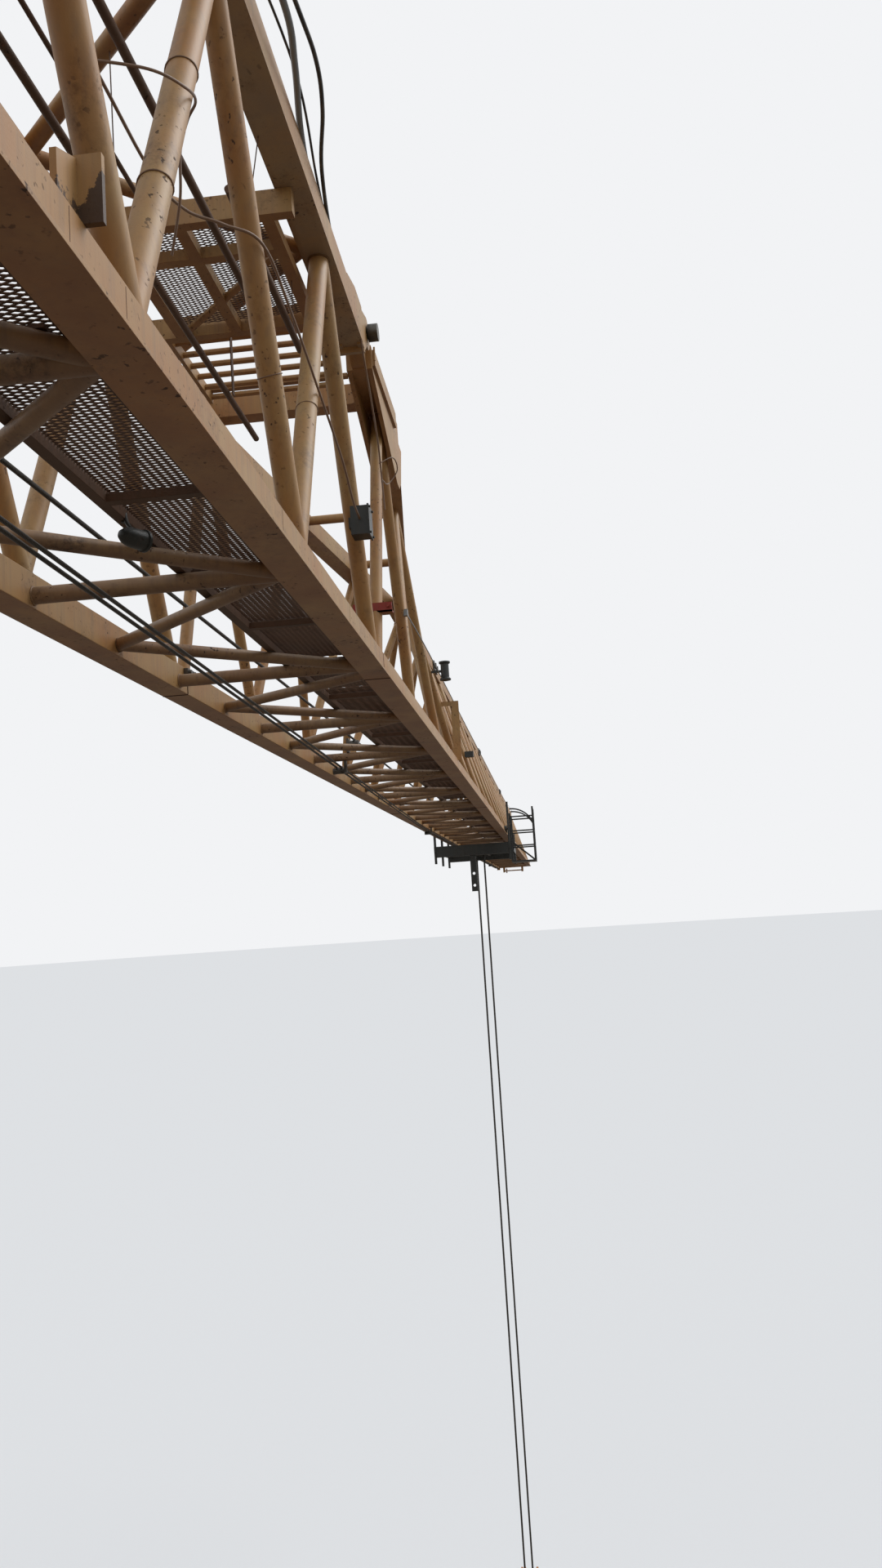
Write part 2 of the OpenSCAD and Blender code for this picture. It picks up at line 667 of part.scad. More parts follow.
// Top chords of the root section, with a fork at the tower and a clevis at the first joint
module lug_side(radius, back, tail, foot) {
    // Side outline of a lug: a round head over the pin, run down to the chord's top at back
    // and held below down to foot
    polygon([[joint_1 + tail, foot], [joint_1 + 0.6 * tail, foot], [joint_1 - tail / abs(tail) * radius, pin_z],
             [joint_1, pin_z], [joint_1 + tail / abs(tail) * radius * 0.35, pin_z + radius * 0.936],
             [joint_1 + back, jib_top - 3], [joint_1 + back, jib_top - 30], [joint_1 + tail, jib_top - 30]]);
    translate([joint_1, pin_z]) circle(r = radius);
}
module plate_y(y, depth) {
    translate([0, y + depth, 0]) rotate([90, 0, 0]) linear_extrude(depth) children();
}
module root_top_chords() {
    mid = top_z + top_h / 2;
    end = joint_1 - clevis_l;
    color("goldenrod") both_sides() difference() {
        union() {
            block([pin_x - 20, chord_y - top_w / 2, top_z], [end, chord_y + top_w / 2, jib_top]);
            // End plate of the chord box
            block([end - 16, chord_y - top_w / 2 - 14, top_z - 18], [end, chord_y + top_w / 2, jib_top]);
            for (s = [-1, 1])
                plate_y(chord_y + s * (top_w / 2 - cheek_t / 2) - cheek_t / 2, cheek_t)
                    lug_side(lug_r, -230, -clevis_l - 40, top_z - 6);
        }
        block([pin_x - 25, chord_y - 13, top_z - 5], [pin_x + 50, chord_y + 13, jib_top + 5]);
        rod_y(pin_x, mid, chord_y - 60, chord_y + 60, pin_d / 2 + gap);
        rod_y(joint_1, pin_z, chord_y - 60, chord_y + 60, pin_d / 2 + gap);
    }
}

// Knuckles with their eyes and gussets, and the two chords that run together
module taper_top_chords() {
    eye = top_w / 2 - cheek_t - 1;
    color("goldenrod") both_sides() difference() {
        union() {
            plate_y(chord_y - eye, 2 * eye) lug_side(lug_r - 8, 240, clevis_l + 10, top_z + 4);
            linear_to_merge();
            // Gussets that hang under the knuckle, hollowed towards the joint
            for (y = [chord_y - top_w / 2, chord_y + top_w / 2 - 14])
                plate_y(y, 14) difference() {
                    polygon([[joint_1 + clevis_l, top_z + 2], [bend + 80, top_z + 2], [bend + 10, top_z - 150],
                             [bend - 50, top_z - 190], [bend - 110, top_z - 190]]);
                    translate([joint_1 + clevis_l + 10, top_z - 280]) circle(r = 260, $fn = 48);
                }
            // Cover strap on the chord's outer face past the joint
            block([joint_1 + clevis_l + 10, chord_y + top_w / 2 - 1, top_z + 12],
                [bend - 120, chord_y + top_w / 2 + 10, jib_top - 12]);
        }
        rod_y(joint_1, pin_z, chord_y - 60, chord_y + 60, pin_d / 2 + gap);
    }
}
module linear_to_merge() {
    translate([0, 0, top_z]) linear_extrude(top_h)
        polygon([[joint_1 + clevis_l, chord_y - top_w / 2], [bend, chord_y - top_w / 2],
                 [merge, merge_y - top_w / 2 + gap / 2], [merge, merge_y + top_w / 2],
                 [bend, chord_y + top_w / 2], [joint_1 + clevis_l, chord_y + top_w / 2]]);
}

// Single top chord of the plain sections
module apex_chord() {
    color("goldenrod") {
        block([merge + gap, -top_w - 10, top_z - 4], [merge + 24, top_w + 10, jib_top + 4]);
        block([merge + 20, -apex_w / 2, top_z], [taper_end - joint_gap / 2, apex_w / 2, jib_top]);
        for (i = [0:plain_sections - 1])
            block([taper_end + i * jib_section + joint_gap / 2, -apex_w / 2, top_z],
                  [taper_end + (i + 1) * jib_section - joint_gap / 2, apex_w / 2, jib_top]);
    }
}

// Zigzag of one side: up from every foot on the bottom chord to the points between them on the top chord
module side_lacing() {
    color("goldenrod") for (i = [0:len(starts) - 1]) {
        r = (i == 0 ? root_tube_d : side_tube_d) / 2;
        s = starts[i];
        intersection() {
            block([s, -10, chord_top], [s + jib_section, jib_w, top_z]);
            for (k = [0:feet_n - 1]) {
                peak = [s + peak_x[k], top_y(s + peak_x[k]), top_z];
                for (d = [0, 1]) {
                    off = [0, d * 2, 0];
                    long_rod([s + foot_x[k + d], chord_y, chord_top] + off, peak + off, r - d,
                        i == 0 ? 32 : lace_sides);
                }
            }
        }
    }
}
module near_side_lacing() {
    mirror([0, 1, 0]) side_lacing();
}
module far_side_lacing() {
    side_lacing();
}

// Bottom lacing: a square member at every foot and a diagonal each side of it
module floor_lacing() {
    r = floor_tube_d / 2;
    color("goldenrod") for (i = [0:len(starts) - 1]) {
        s = starts[i];
        intersection() {
            block([s, -chord_in, jib_z], [s + jib_section, chord_in, chord_top]);
            union() for (k = [0:feet_n - 1]) {
                turned_rod([s + foot_x[k + 1], -chord_in, floor_z], [s + foot_x[k + 1], chord_in, floor_z], r);
                for (d = [0, 1])
                    turned_rod([s + foot_x[k + d], -chord_in, floor_z + d + 1],
                        [s + peak_x[k], chord_in, floor_z + d + 1], r - 3);
            }
        }
    }
}

// Lacing between the two top chords, as far as they run apart
module top_lacing() {
    r = side_tube_d / 2;
    mid = top_z + top_h / 2;
    in = chord_y - top_w / 2;
    color("goldenrod") {
        intersection() {
            block([root_x, -in, top_z], [joint_1 - clevis_l - 20, in, jib_top]);
            // One zigzag from every point on the near chord to the middle of the bay on the far chord
            union() for (k = [0:feet_n - 1]) {
                turned_rod([root_x + peak_x[k], -in, mid], [root_x + peak_x[k] + foot_step / 2, in, mid], r);
                turned_rod([root_x + peak_x[k], -in, mid + 1],
                    [root_x + peak_x[k] - foot_step / 2, in, mid + 1], r - 2);
            }
        }
        // Cross beam between the knuckles, a channel open towards the tip
        difference() {
            block([bend - 380, -in, top_z + 4], [bend - 310, in, jib_top - 4]);
            block([bend - 370, -in - 1, top_z + 14], [bend - 300, in + 1, jib_top - 14]);
        }
        difference() {
            for (x = [bend + merge_l * 0.35, bend + merge_l * 0.65])
                rod([x, -top_y(x), mid], [x, top_y(x), mid], r, lace_sides);
            both_sides() linear_to_merge();
        }
    }
}

// Pins and joint plates of the sections and of the tower
module joint_pins() {
    color("gray") {
        both_sides() {
            for (z = [jib_z + chord_h / 2, top_z + top_h / 2], sx = [-1, 1]) {
                rod_y(sx * pin_x, z, chord_y - 52, chord_y + 52, pin_d / 2);
                rod_y(sx * pin_x, z, chord_y - 60, chord_y - 52, pin_d / 2 + 7);
            }
            rod_y(joint_1, pin_z, chord_y - 56, chord_y + 76, pin_d / 2);
            rod_y(joint_1, pin_z, chord_y + top_w / 2 + 4, chord_y + 76, pin_d / 2 + 9);
            // Plates on the inner faces of the bottom chords
            for (i = [1:len(starts) - 1]) {
                block([starts[i] - 34, chord_in - 14, chord_top - 26],
                    [starts[i] + 34, chord_in, chord_top - 4]);
                for (sx = [-1, 1]) rod_y(starts[i] + sx * 20, chord_top - 15, chord_in - 22, chord_in - 13, 7);
            }
        }
        for (i = [2:len(starts) - 1], s = [-1, 1]) {
            y0 = s > 0 ? apex_w / 2 : -apex_w / 2 - 12;
            block([starts[i] - 110, y0, top_z + 6], [starts[i] + 110, y0 + 12, jib_top - 6]);
            head = s > 0 ? y0 + 11 : y0 - 11;
            for (sx = [-1, 1]) rod_y(starts[i] + sx * 60, top_z + top_h / 2, head, head + 12, 22);
        }
    }
}

// Walkway along the inner side of the near bottom chord
walk_y0 = -chord_in + 1;
walk_z = jib_z + 10 + floor_tube_d + gap;
walk_start = trolley_winch_x + winch_to_walk;
walk_end = jib_end - 400;
module walkway_frame() {
    color("saddlebrown") for (i = [0:len(starts) - 1]) {
        x0 = max(walk_start, starts[i] + 40);
        x1 = min(walk_end, starts[i] + jib_section - 40);
        for (y = [walk_y0 + 16, walk_y0 + walk_w - 22]) block([x0, y, walk_z], [x1, y + 22, walk_z + 22]);
        n = floor((x1 - x0) / 480);
        for (k = [0:n]) block([x0 + (x1 - x0 - 22) * k / n, walk_y0 + 16, walk_z],
            [x0 + (x1 - x0 - 22) * k / n + 22, walk_y0 + walk_w, walk_z + 16]);
    }
}
module walkway_mesh() {
    color("peru") {
        for (i = [0:len(starts) - 1])
            block([max(walk_start, starts[i] + 40), walk_y0 + 16, walk_z + 22 + gap],
                  [min(walk_end, starts[i] + jib_section - 40), walk_y0 + walk_w, walk_z + 22 + gap + mesh_t]);
        // Mesh of the platform between the top chords
        block([platform_x0 + 30 + gap, -chord_in + 21, platform_low + 30 + gap],
              [platform_x1 - 30 - gap, platform_far, platform_low + 30 + gap + mesh_t]);
    }
}

// Platform between the top chords just before the first joint, with a level ladder on to the knuckles
platform_l = 560;
platform_to_joint = 340;
platform_x1 = joint_1 - platform_to_joint;
platform_x0 = platform_x1 - platform_l;
platform_low = top_z - 62;
platform_far = 150;
ladder_rungs = 6;
module top_platform() {
    in = chord_y - top_w / 2;
    low = platform_low;
    x0 = platform_x0;
    x1 = platform_x1;
    ladder_end = joint_1 + clevis_l + 30;
    ladder_step = (ladder_end - x1) / ladder_rungs;
    color("saddlebrown") {
        for (x = [x0, x1 - 30]) block([x, -in - 40, low], [x + 30, in + 40, top_z - gap]);
        block([x0 + 150, -in + 10, low], [x0 + 180, platform_far, low + 30]);
        for (y = [-in + 10, -40, platform_far - 30]) block([x0 + 29, y, low], [x1 - 29, y + 30, low + 30]);
        rod([x0 + 170, -in + 20, low + 15], [x1 - 20, platform_far - 20, low + 14], 11, lace_sides);
        // Ladder of round rungs between two flats
        for (y = [-in + 20, platform_far + 30]) block([x1 - 1, y, low + 14], [ladder_end, y + 12, low + 50]);
        for (k = [1:ladder_rungs]) {
            x = x1 + k * ladder_step - 12;
            rod([x, -in + 21, low + 32], [x, platform_far + 41, low + 32], 9, lace_sides);
        }
        // Far end of the ladder on a cross flat between the knuckles' gussets
        block([ladder_end - 24, -in + gap, low + 49], [ladder_end, in - gap, top_z - 2]);
    }
}

// Trolley winch inside the jib's root
module trolley_winch() {
    x = trolley_winch_x;
    z = walk_z + trolley_drum_z;
    color("slategray") {
        // Base plate with a slot for the lines
        difference() {
            block([x - 260, -chord_in + gap, walk_z], [x + 260, chord_in - gap, walk_z + 20]);
            block([drop_x - 18, drop_y - 30, walk_z - 1], [drop_x + 18, drop_y + 30, walk_z + 21]);
        }
        for (y = [-170, 150]) block([x - 110, y, walk_z + 19], [x + 110, y + 20, z + 70]);
        rod_y(x, z, -151, 151, trolley_drum_r);
        for (y = [-140, 120]) rod_y(x, z, y, y + 14, trolley_drum_r + 30);
        rod_y(x, z, 169, 250, 76);
    }
}

// Roller brackets that carry the ropes along the jib
guide_x = [for (i = [0:plain_sections + 1]) starts[i] + foot_x[2]];
rope_y = 290;
spread_x = guide_x[2];
// Across the jib, the trolley's lines fan out from the winch to the far chord
function rope_at(x) = x >= spread_x ? rope_y : drop_y + (rope_y - drop_y) * (x - drop_x) / (spread_x - drop_x);
line_y = [-12, 10];
rope_low = jib_z - 16;
hoist_rope_rise = 110;
hoist_y = 85;
rope_high = jib_z + hoist_rope_rise;
// The hoist rope runs down from the winch drum and under a sheave on the tower's front cross beam
bend_x = tower_l / 2 - post_w / 2;
rope_end = jib_end - 1;
bend_z = rope_high + rope_d / 2 + sheave_r + 1;
module rope_guides() {
    color("dimgray") translate([bend_x, hoist_y, bend_z]) {
        sheave();
        rod_y(0, 0, -22, 22, 14);
        for (y = [-22, 12]) block([-30, y, jib_z + 50 + gap - bend_z], [30, y + 10, 34]);
    }
    // Roller that turns the trolley's lines under the winch
    color("dimgray") {
        block([drop_x + 5, drop_y - 28, rope_low + 8], [drop_x + 25, drop_y - 22, walk_z - gap]);
        rod_y(drop_x + rope_d / 2 + turn_r + gap, rope_low + rope_d / 2 + turn_r + gap, drop_y - 23,
            drop_y + 20, turn_r);
    }
    color("dimgray") for (x = guide_x) {
        y = rope_at(x);
        // Hanger under the bottom lacing, with the trolley rope's roller
        hang_y = min(y - 40, chord_in - 14);
        block([x - 14, hang_y, jib_z - 44], [x + 14, hang_y + 12, jib_z + 10 - gap]);
        rod_y(x, rope_low - rope_d / 2 - 14 - gap, hang_y + 11, y + 26, 14);
        // Bracket on the bottom lacing, with the hoist rope's roller
        block([x - 16, hoist_y + 22, walk_z], [x + 16, hoist_y + 34, rope_high + 4]);
        rod_y(x, rope_high - rope_d / 2 - 20 - gap, hoist_y - 24, hoist_y + 23, 20);
    }
}

// Ropes along the jib: the trolley's two lines, bent at the third guide, and the hoist rope
module jib_ropes() {
    color("black") {
        for (d = line_y) {
            rod([drop_x, drop_y + d, walk_z + trolley_drum_z], [drop_x, drop_y + d, rope_low],
                rope_d / 2 - 0.4);
            translate([drop_x, drop_y + d, rope_low]) sphere(r = rope_d / 2 + 0.4);
            rod([drop_x, drop_y + d, rope_low], [spread_x, rope_y + d, rope_low], rope_d / 2 - 0.4);
            rod_x(spread_x - 4, rope_end, rope_y + d, rope_low, rope_d / 2);
        }
        rod([winch_x, hoist_y, winch_z + drum_r + rope_d / 2 + 1], [bend_x, hoist_y, rope_high],
            rope_d / 2 - 0.6);
        rod_x(bend_x - 4, rope_end, hoist_y, rope_high, rope_d / 2);
    }
}

// End frame of the jib with its sheaves and buffers
module jib_tip() {
    color("goldenrod") {
        block([jib_end + gap - 2, -jib_w / 2 + ledge_w, jib_z], [jib_end + 30, jib_w / 2 - ledge_w, chord_top]);
        block([jib_end + gap - 2, -apex_w / 2, jib_z + 20], [jib_end + 30, apex_w / 2, jib_top]);
        for (s = [-1, 1]) block([jib_end + 5, s * 180 - 20, jib_z - 90],
            [jib_end + 30, s * 180 + 20, jib_z + 1]);
        rod_y(jib_end + 17, jib_z - 60, -180, 180, 12);
        rod_y(jib_end + 17, jib_z - 60, 120, 140, 46);
        // Anchors of the trolley's lines and of the hoist rope
        block([rope_end + gap, rope_y - 30, rope_low - 20], [jib_end + 29, rope_y + 30, jib_z + 1]);
        block([rope_end + gap, hoist_y - 20, chord_top - 1], [jib_end + 29, hoist_y + 20, rope_high + 25]);
    }
}

// Trolley: side posts that carry the wheels, side beams and cross beams under the jib
post_x = trolley_l / 2 - 40;
side_in = jib_w / 2 + run_gap + 4;
side_out = side_in + 20;
beam_top = jib_z - 88;
beam_low = jib_z - 198;
axle_z = jib_z + ledge_t + wheel_d / 2 + gap;
module sheave() {
    // Disc with a rim groove for the rope
    rotate([90, 0, 0]) rotate_extrude()
        polygon([[0, -10], [sheave_r + 7, -10], [sheave_r + 7, -8], [sheave_r, -rope_d / 2],
                 [sheave_r, rope_d / 2], [sheave_r + 7, 8], [sheave_r + 7, 10], [0, 10]]);
}
module trolley_frame() {
    color("darkslategray") translate([trolley_x, 0, 0]) {
        for (s = [-1, 1]) {
            y0 = s > 0 ? side_in : -side_out;
            for (x = [-post_x, 0, post_x]) block([x - 30, y0, jib_z - 262], [x + 30, y0 + 20, axle_z + 30]);
            block([-trolley_l / 2, y0, beam_top - 60], [trolley_l / 2, y0 + 20, beam_top]);
        }
        // Tall post over the near front wheel
        block([-post_x - 14, -side_out, axle_z + 29], [-post_x + 14, -side_in, jib_z + 320]);
        for (x = [-post_x, post_x]) block([x - 25, -side_in - 1, beam_low], [x + 25, side_in + 1, beam_top]);
        for (y = [-110, 90]) block([-post_x, y, beam_top - 70], [post_x, y + 20, beam_top - 10]);
        // Sheaves on their axles between the two middle beams
        for (sx = [-1, 1]) {
            translate([fall_x + sx * sheave_x, sx * sheave_y, sheave_z]) sheave();
            rod_y(fall_x + sx * sheave_x, sheave_z, -109, 109, 14);
        }
        // Changing bar with two holes
        difference() {
            block([-post_x - 16, -30, jib_z - 560], [-post_x + 14, 30, beam_low + 1]);
            for (z = [jib_z - 500, jib_z - 380]) rod_x(-post_x - 20, -post_x + 20, 0, z, 14);
        }
    }
}

// Four wheels on the runway ledges, each with its axle
module trolley_wheels() {
    color("dimgray") translate([trolley_x, 0, 0]) both_sides() for (x = [-post_x, post_x]) {
        rod_y(x, axle_z, chord_out + 2, jib_w / 2 + 3, wheel_d / 2);
        rod_y(x, axle_z, jib_w / 2 + 3, jib_w / 2 + 8, wheel_d / 2 + 5);
        rod_y(x, axle_z, jib_w / 2 + 7, side_in - gap, 10);
    }
}

// Service cage on the near side of the trolley
module trolley_cage() {
    y1 = -side_out - gap;
    y0 = y1 - cage_w;
    low = jib_z - 290;
    high = low + cage_h;
    half = cage_l / 2;
    levels = [low + 155, low + 305, low + 450];
    color("darkslategray") translate([trolley_x - post_x + 30 + half, 0, 0]) {
        block([-half, y0, low], [half, y1, low + 12]);
        for (x = [-half + 9, half - 9]) {
            block([x - 9, y1 - 18, low + 11], [x + 9, y1, high - 55]);
            block([x - 9, y0, low + 11], [x + 9, y0 + 18, high]);
            for (z = levels) block([x - 7, y0 + 1, z], [x + 7, y1 - 1, z + 14]);
            // Bowed top rail and diagonal brace of each end
            translate([x, 0, 0]) rotate([90, 0, 90]) translate([0, 0, -7]) linear_extrude(14) {
                difference() {
                    translate([y1 - 18, high - 250]) circle(r = 246, $fn = 64);
                    translate([y1 - 18, high - 250]) circle(r = 232, $fn = 64);
                    translate([y1 - 9, low]) square([400, 2 * cage_h]);
                    translate([y0 - 100, low - 200]) square([cage_w + 200, cage_h - 55]);
                    translate([y0 - 100, low]) square([100, cage_h + 200]);
                }
                polygon([[y1 - 8, low + 210], [y1 - 8, low + 224], [y0 + 8, low + 16], [y0 + 8, low + 2]]);
            }
        }
        for (z = concat(levels, [high - 16])) block([-half + 1, y0 + 2, z], [half - 1, y0 + 16, z + 14]);
    }
}

// Four falls of the hoist rope, each from the side of a trolley sheave to the side of a hook sheave
module hoist_falls() {
    color("black") for (sx = [-1, 1], d = [-1, 1])
        translate([trolley_x + fall_x + sx * sheave_x + d * (sheave_r + rope_d / 2 + gap), sx * sheave_y,
            hook_top])
            cylinder(r = rope_d / 2, h = sheave_z - hook_top);
}

// Hook block: two sheaves between cheeks, a cross head and the hook
module hook_block() {
    color("orange") translate([trolley_x + fall_x, 0, 0]) {
        for (y = [-90, 70]) {
            block([-sheave_x, y, hook_top - 110], [sheave_x, y + 20, hook_top + 60]);
            for (sx = [-1, 1]) rod_y(sx * sheave_x, hook_top - 20, y, y + 20, 96);
        }
        for (sx = [-1, 1]) {
            translate([sx * sheave_x, sx * sheave_y, hook_top]) sheave();
            rod_y(sx * sheave_x, hook_top, -100, 100, 18);
        }
        // Cross head with its trunnions and nut, then the shank and the hook
        block([-60, -71, hook_top - 190], [60, 71, hook_top - 100]);
        rod_y(0, hook_top - 145, -100, 100, 26);
        translate([0, 0, hook_z + 120]) cylinder(r = 26, h = hook_top - 189 - hook_z - 120);
        translate([0, 10, hook_z + 70]) rotate([90, 0, 0]) rotate_extrude(angle = 270) translate([60, 0])
            circle(r = 20);
        translate([60, 10, hook_z + 69]) cylinder(r1 = 20, r2 = 7, h = 52);
    }
}

base_cross();
mast_legs();
mast_lacing_front();
mast_lacing_back();
mast_lacing_left();
mast_lacing_right();
mast_ladder();
slewing_support();
slewing_ring();
turntable();
slew_motors();
slewing_tower();
cab_shell();
cab_windows();
cab_platform();
counter_jib_beams();
counter_jib_truss();
counter_jib_deck();
counter_jib_rails();
counterweights();
hoist_winch();
winch_drum();
electric_cabinet();
near_bottom_chord();
far_bottom_chord();
root_top_chords();
taper_top_chords();
apex_chord();
near_side_lacing();
far_side_lacing();
floor_lacing();
top_lacing();
joint_pins();
walkway_frame();
walkway_mesh();
top_platform();
trolley_winch();
rope_guides();
jib_ropes();
jib_tip();
trolley_frame();
trolley_wheels();
trolley_cage();
hoist_falls();
hook_block();
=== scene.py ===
import json
import bmesh
import bpy
import numpy as np
from mathutils import Matrix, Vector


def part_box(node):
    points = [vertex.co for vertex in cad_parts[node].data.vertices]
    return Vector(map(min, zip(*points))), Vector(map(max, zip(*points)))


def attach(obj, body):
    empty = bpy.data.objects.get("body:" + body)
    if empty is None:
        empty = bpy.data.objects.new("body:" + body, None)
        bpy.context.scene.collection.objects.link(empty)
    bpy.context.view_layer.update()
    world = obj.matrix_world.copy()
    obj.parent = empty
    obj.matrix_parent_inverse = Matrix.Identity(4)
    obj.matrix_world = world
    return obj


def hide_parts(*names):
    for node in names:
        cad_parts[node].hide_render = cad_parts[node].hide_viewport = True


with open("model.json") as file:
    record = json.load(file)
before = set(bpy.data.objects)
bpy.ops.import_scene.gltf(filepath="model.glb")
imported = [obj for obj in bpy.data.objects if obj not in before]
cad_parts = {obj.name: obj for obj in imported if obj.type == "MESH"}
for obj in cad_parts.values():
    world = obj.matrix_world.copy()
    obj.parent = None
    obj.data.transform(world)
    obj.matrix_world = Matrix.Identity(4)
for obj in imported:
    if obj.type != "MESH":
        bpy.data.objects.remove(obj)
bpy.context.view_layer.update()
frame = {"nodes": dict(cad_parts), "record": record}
nodes = frame["nodes"]
bodyOf = {node: body for body, names in frame["record"]["behaviour"]["bodies"].items() for node in names}
slotOf = {part["node"]: part["material_slot"] for part in frame["record"]["subparts"]}
print("stage: frame loaded,", len(nodes), "nodes")


# Pieces
def placePiece(name, mesh, finish, body, replaced=()):
    # the mesh as an object with its finish; it rides its body and stands for the nodes in replaced
    mesh.materials.clear()
    mesh.materials.append(finish)
    piece = bpy.data.objects.new(name, mesh)
    bpy.context.scene.collection.objects.link(piece)
    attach(piece, body)
    if replaced:
        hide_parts(*replaced)
    return piece


def smoothFaces(mesh, crease=0.6):
    # shaded round, but edges sharper than the crease (radians) stay crisp
    mesh.polygons.foreach_set("use_smooth", np.ones(len(mesh.polygons), bool))
    mesh.set_sharp_from_angle(angle=crease)
    mesh.update()


def addPiece(name, verts, faces, finish, body, slot, replaced=(), crease=0.6):
    # a new mesh from its points and faces
    mesh = bpy.data.meshes.new(name)
    mesh.from_pydata(np.asarray(verts).tolist(), [], [list(face) for face in faces])
    smoothFaces(mesh, crease)
    return placePiece(name, mesh, finish, body, replaced)


def softenNode(name, width):
    # the node's own solid, its doubles merged and flat faces joined, with every hard edge rounded by width
    mesh = nodes[name].data.copy()
    work = bmesh.new()
    work.from_mesh(mesh)
    bmesh.ops.remove_doubles(work, verts=work.verts, dist=1e-5)
    bmesh.ops.dissolve_limit(work, angle_limit=0.01, verts=work.verts, edges=work.edges)
    work.to_mesh(mesh)
    work.free()
    smoothFaces(mesh)
    piece = placePiece(name + "_finished", mesh, nodes[name].data.materials[0], bodyOf[name], [name])
    bevel = piece.modifiers.new("roundedEdges", "BEVEL")
    bevel.width = width
    bevel.segments = 2
    bevel.limit_method = "ANGLE"
    bevel.angle_limit = 0.7


# Shapes: each function gives its points and its faces
def boxCorners(name):
    # the low and the high corner of a node's box
    return [np.array(corner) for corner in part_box(name)]


def pointsAt(x, y, z):
    # one row (x, y, z) for every entry of the longest of the three
    return np.stack(np.broadcast_arrays(x, y, z), 1).astype(float)


def unitLength(vectors):
    # each vector divided by its own length
    return vectors / np.linalg.norm(vectors, axis=-1, keepdims=True)


def joinShapes(*shapes):
    # the faces' numbers move on by the points before them
    verts, faces, start = [], [], 0
    for points, rings in shapes:
        verts.append(points)
        faces += [tuple(start + i for i in face) for face in rings]
        start += len(points)
    return np.concatenate(verts), faces


def ringFaces(shape, capped=True, closed=False, flip=False):
    # points are numbered ring after ring; a quad joins two neighbours of a ring to the same two of the next ring
    # caps shut the first and the last ring; closed joins the last ring to the first; flip turns every face over
    grid = np.arange(np.prod(shape)).reshape(shape)
    if closed:
        grid = np.concatenate([grid, grid[..., :1, :]], -2)
    beside = np.roll(grid, -1, -1)
    tables = [np.stack([grid[..., :-1, :], beside[..., :-1, :], beside[..., 1:, :], grid[..., 1:, :]], -1).reshape(-1, 4)]
    if capped:
        tables += [grid[..., 0, ::-1].reshape(-1, shape[-1]), grid[..., -1, :].reshape(-1, shape[-1])]
    return [tuple(face) for table in tables for face in (table[:, ::-1] if flip else table).tolist()]


def circleOutline(radius, sides):
    # radius times (cos, sin) at equal steps of the full turn
    turn = np.arange(sides) * 2 * np.pi / sides
    return radius * np.stack([np.cos(turn), np.sin(turn)], 1)


def carryOutline(path, outline, lift=(0, 0, 1)):
    # ring k is p_k + a * side_k + b * rise_k for each outline point (a, b)
    # side is the tangent crossed with lift, and rise is side crossed with the tangent
    path = np.asarray(path, float)
    tangent = unitLength(np.gradient(path, axis=0))
    side = unitLength(np.cross(tangent, lift))
    rise = np.cross(side, tangent)
    rings = path[:, None] + outline[None, :, :1] * side[:, None] + outline[None, :, 1:] * rise[:, None]
    return rings.reshape(-1, 3), ringFaces(rings.shape[:2], flip=True)


def straightTubes(starts, ends, radius, sides=20):
    # two rings a tube: end point + radius * (cos * across + sin * beyond), both at right angles to the tube
    starts, ends = np.atleast_2d(starts).astype(float), np.atleast_2d(ends).astype(float)
    run = unitLength(ends - starts)
    lift = np.where(np.abs(run[:, 2:]) > 0.9, [[1.0, 0, 0]], [[0, 0, 1.0]])
    across = unitLength(np.cross(lift, run))
    beyond = np.cross(run, across)
    ring = circleOutline(1, sides)
    wide = np.broadcast_to(np.asarray(radius, float).reshape(-1, 1, 1), (len(run), 1, 1))
    disc = wide * (ring[None, :, :1] * across[:, None] + ring[None, :, 1:] * beyond[:, None])
    verts = np.stack([starts[:, None] + disc, ends[:, None] + disc], 1)
    return verts.reshape(-1, 3), ringFaces(verts.shape[:3])


def sunkTubes(starts, ends, radius, sides=24, sink=0.022):
    # each tube runs on by sink at both ends, inside what it is welded to
    run = sink * unitLength(ends - starts)
    return straightTubes(starts - run, ends + run, radius, sides)


def curveThrough(points, steps=8):
    # between p1 and p2: half of (2 p1 + (p2 - p0) t + (2 p0 - 5 p1 + 4 p2 - p3) t^2 + (3 p1 - p0 - 3 p2 + p3) t^3)
    points = np.asarray(points, float)
    held = np.concatenate([[2 * points[0] - points[1]], points, [2 * points[-1] - points[-2]]])
    t = (np.arange(steps) / steps)[None, :, None]
    p0, p1, p2, p3 = (held[i:len(held) - 3 + i, None] for i in range(4))
    bend, twist = 2 * p0 - 5 * p1 + 4 * p2 - p3, 3 * p1 - p0 - 3 * p2 + p3
    curve = 0.5 * (2 * p1 + (p2 - p0) * t + bend * t ** 2 + twist * t ** 3)
    return np.concatenate([curve.reshape(-1, 3), points[-1:]])


def cableRun(points, radius, sides=12, lift=(0, 0, 1)):
    # a round section carried along the smooth curve through the points
    return carryOutline(curveThrough(points), circleOutline(radius, sides), lift)


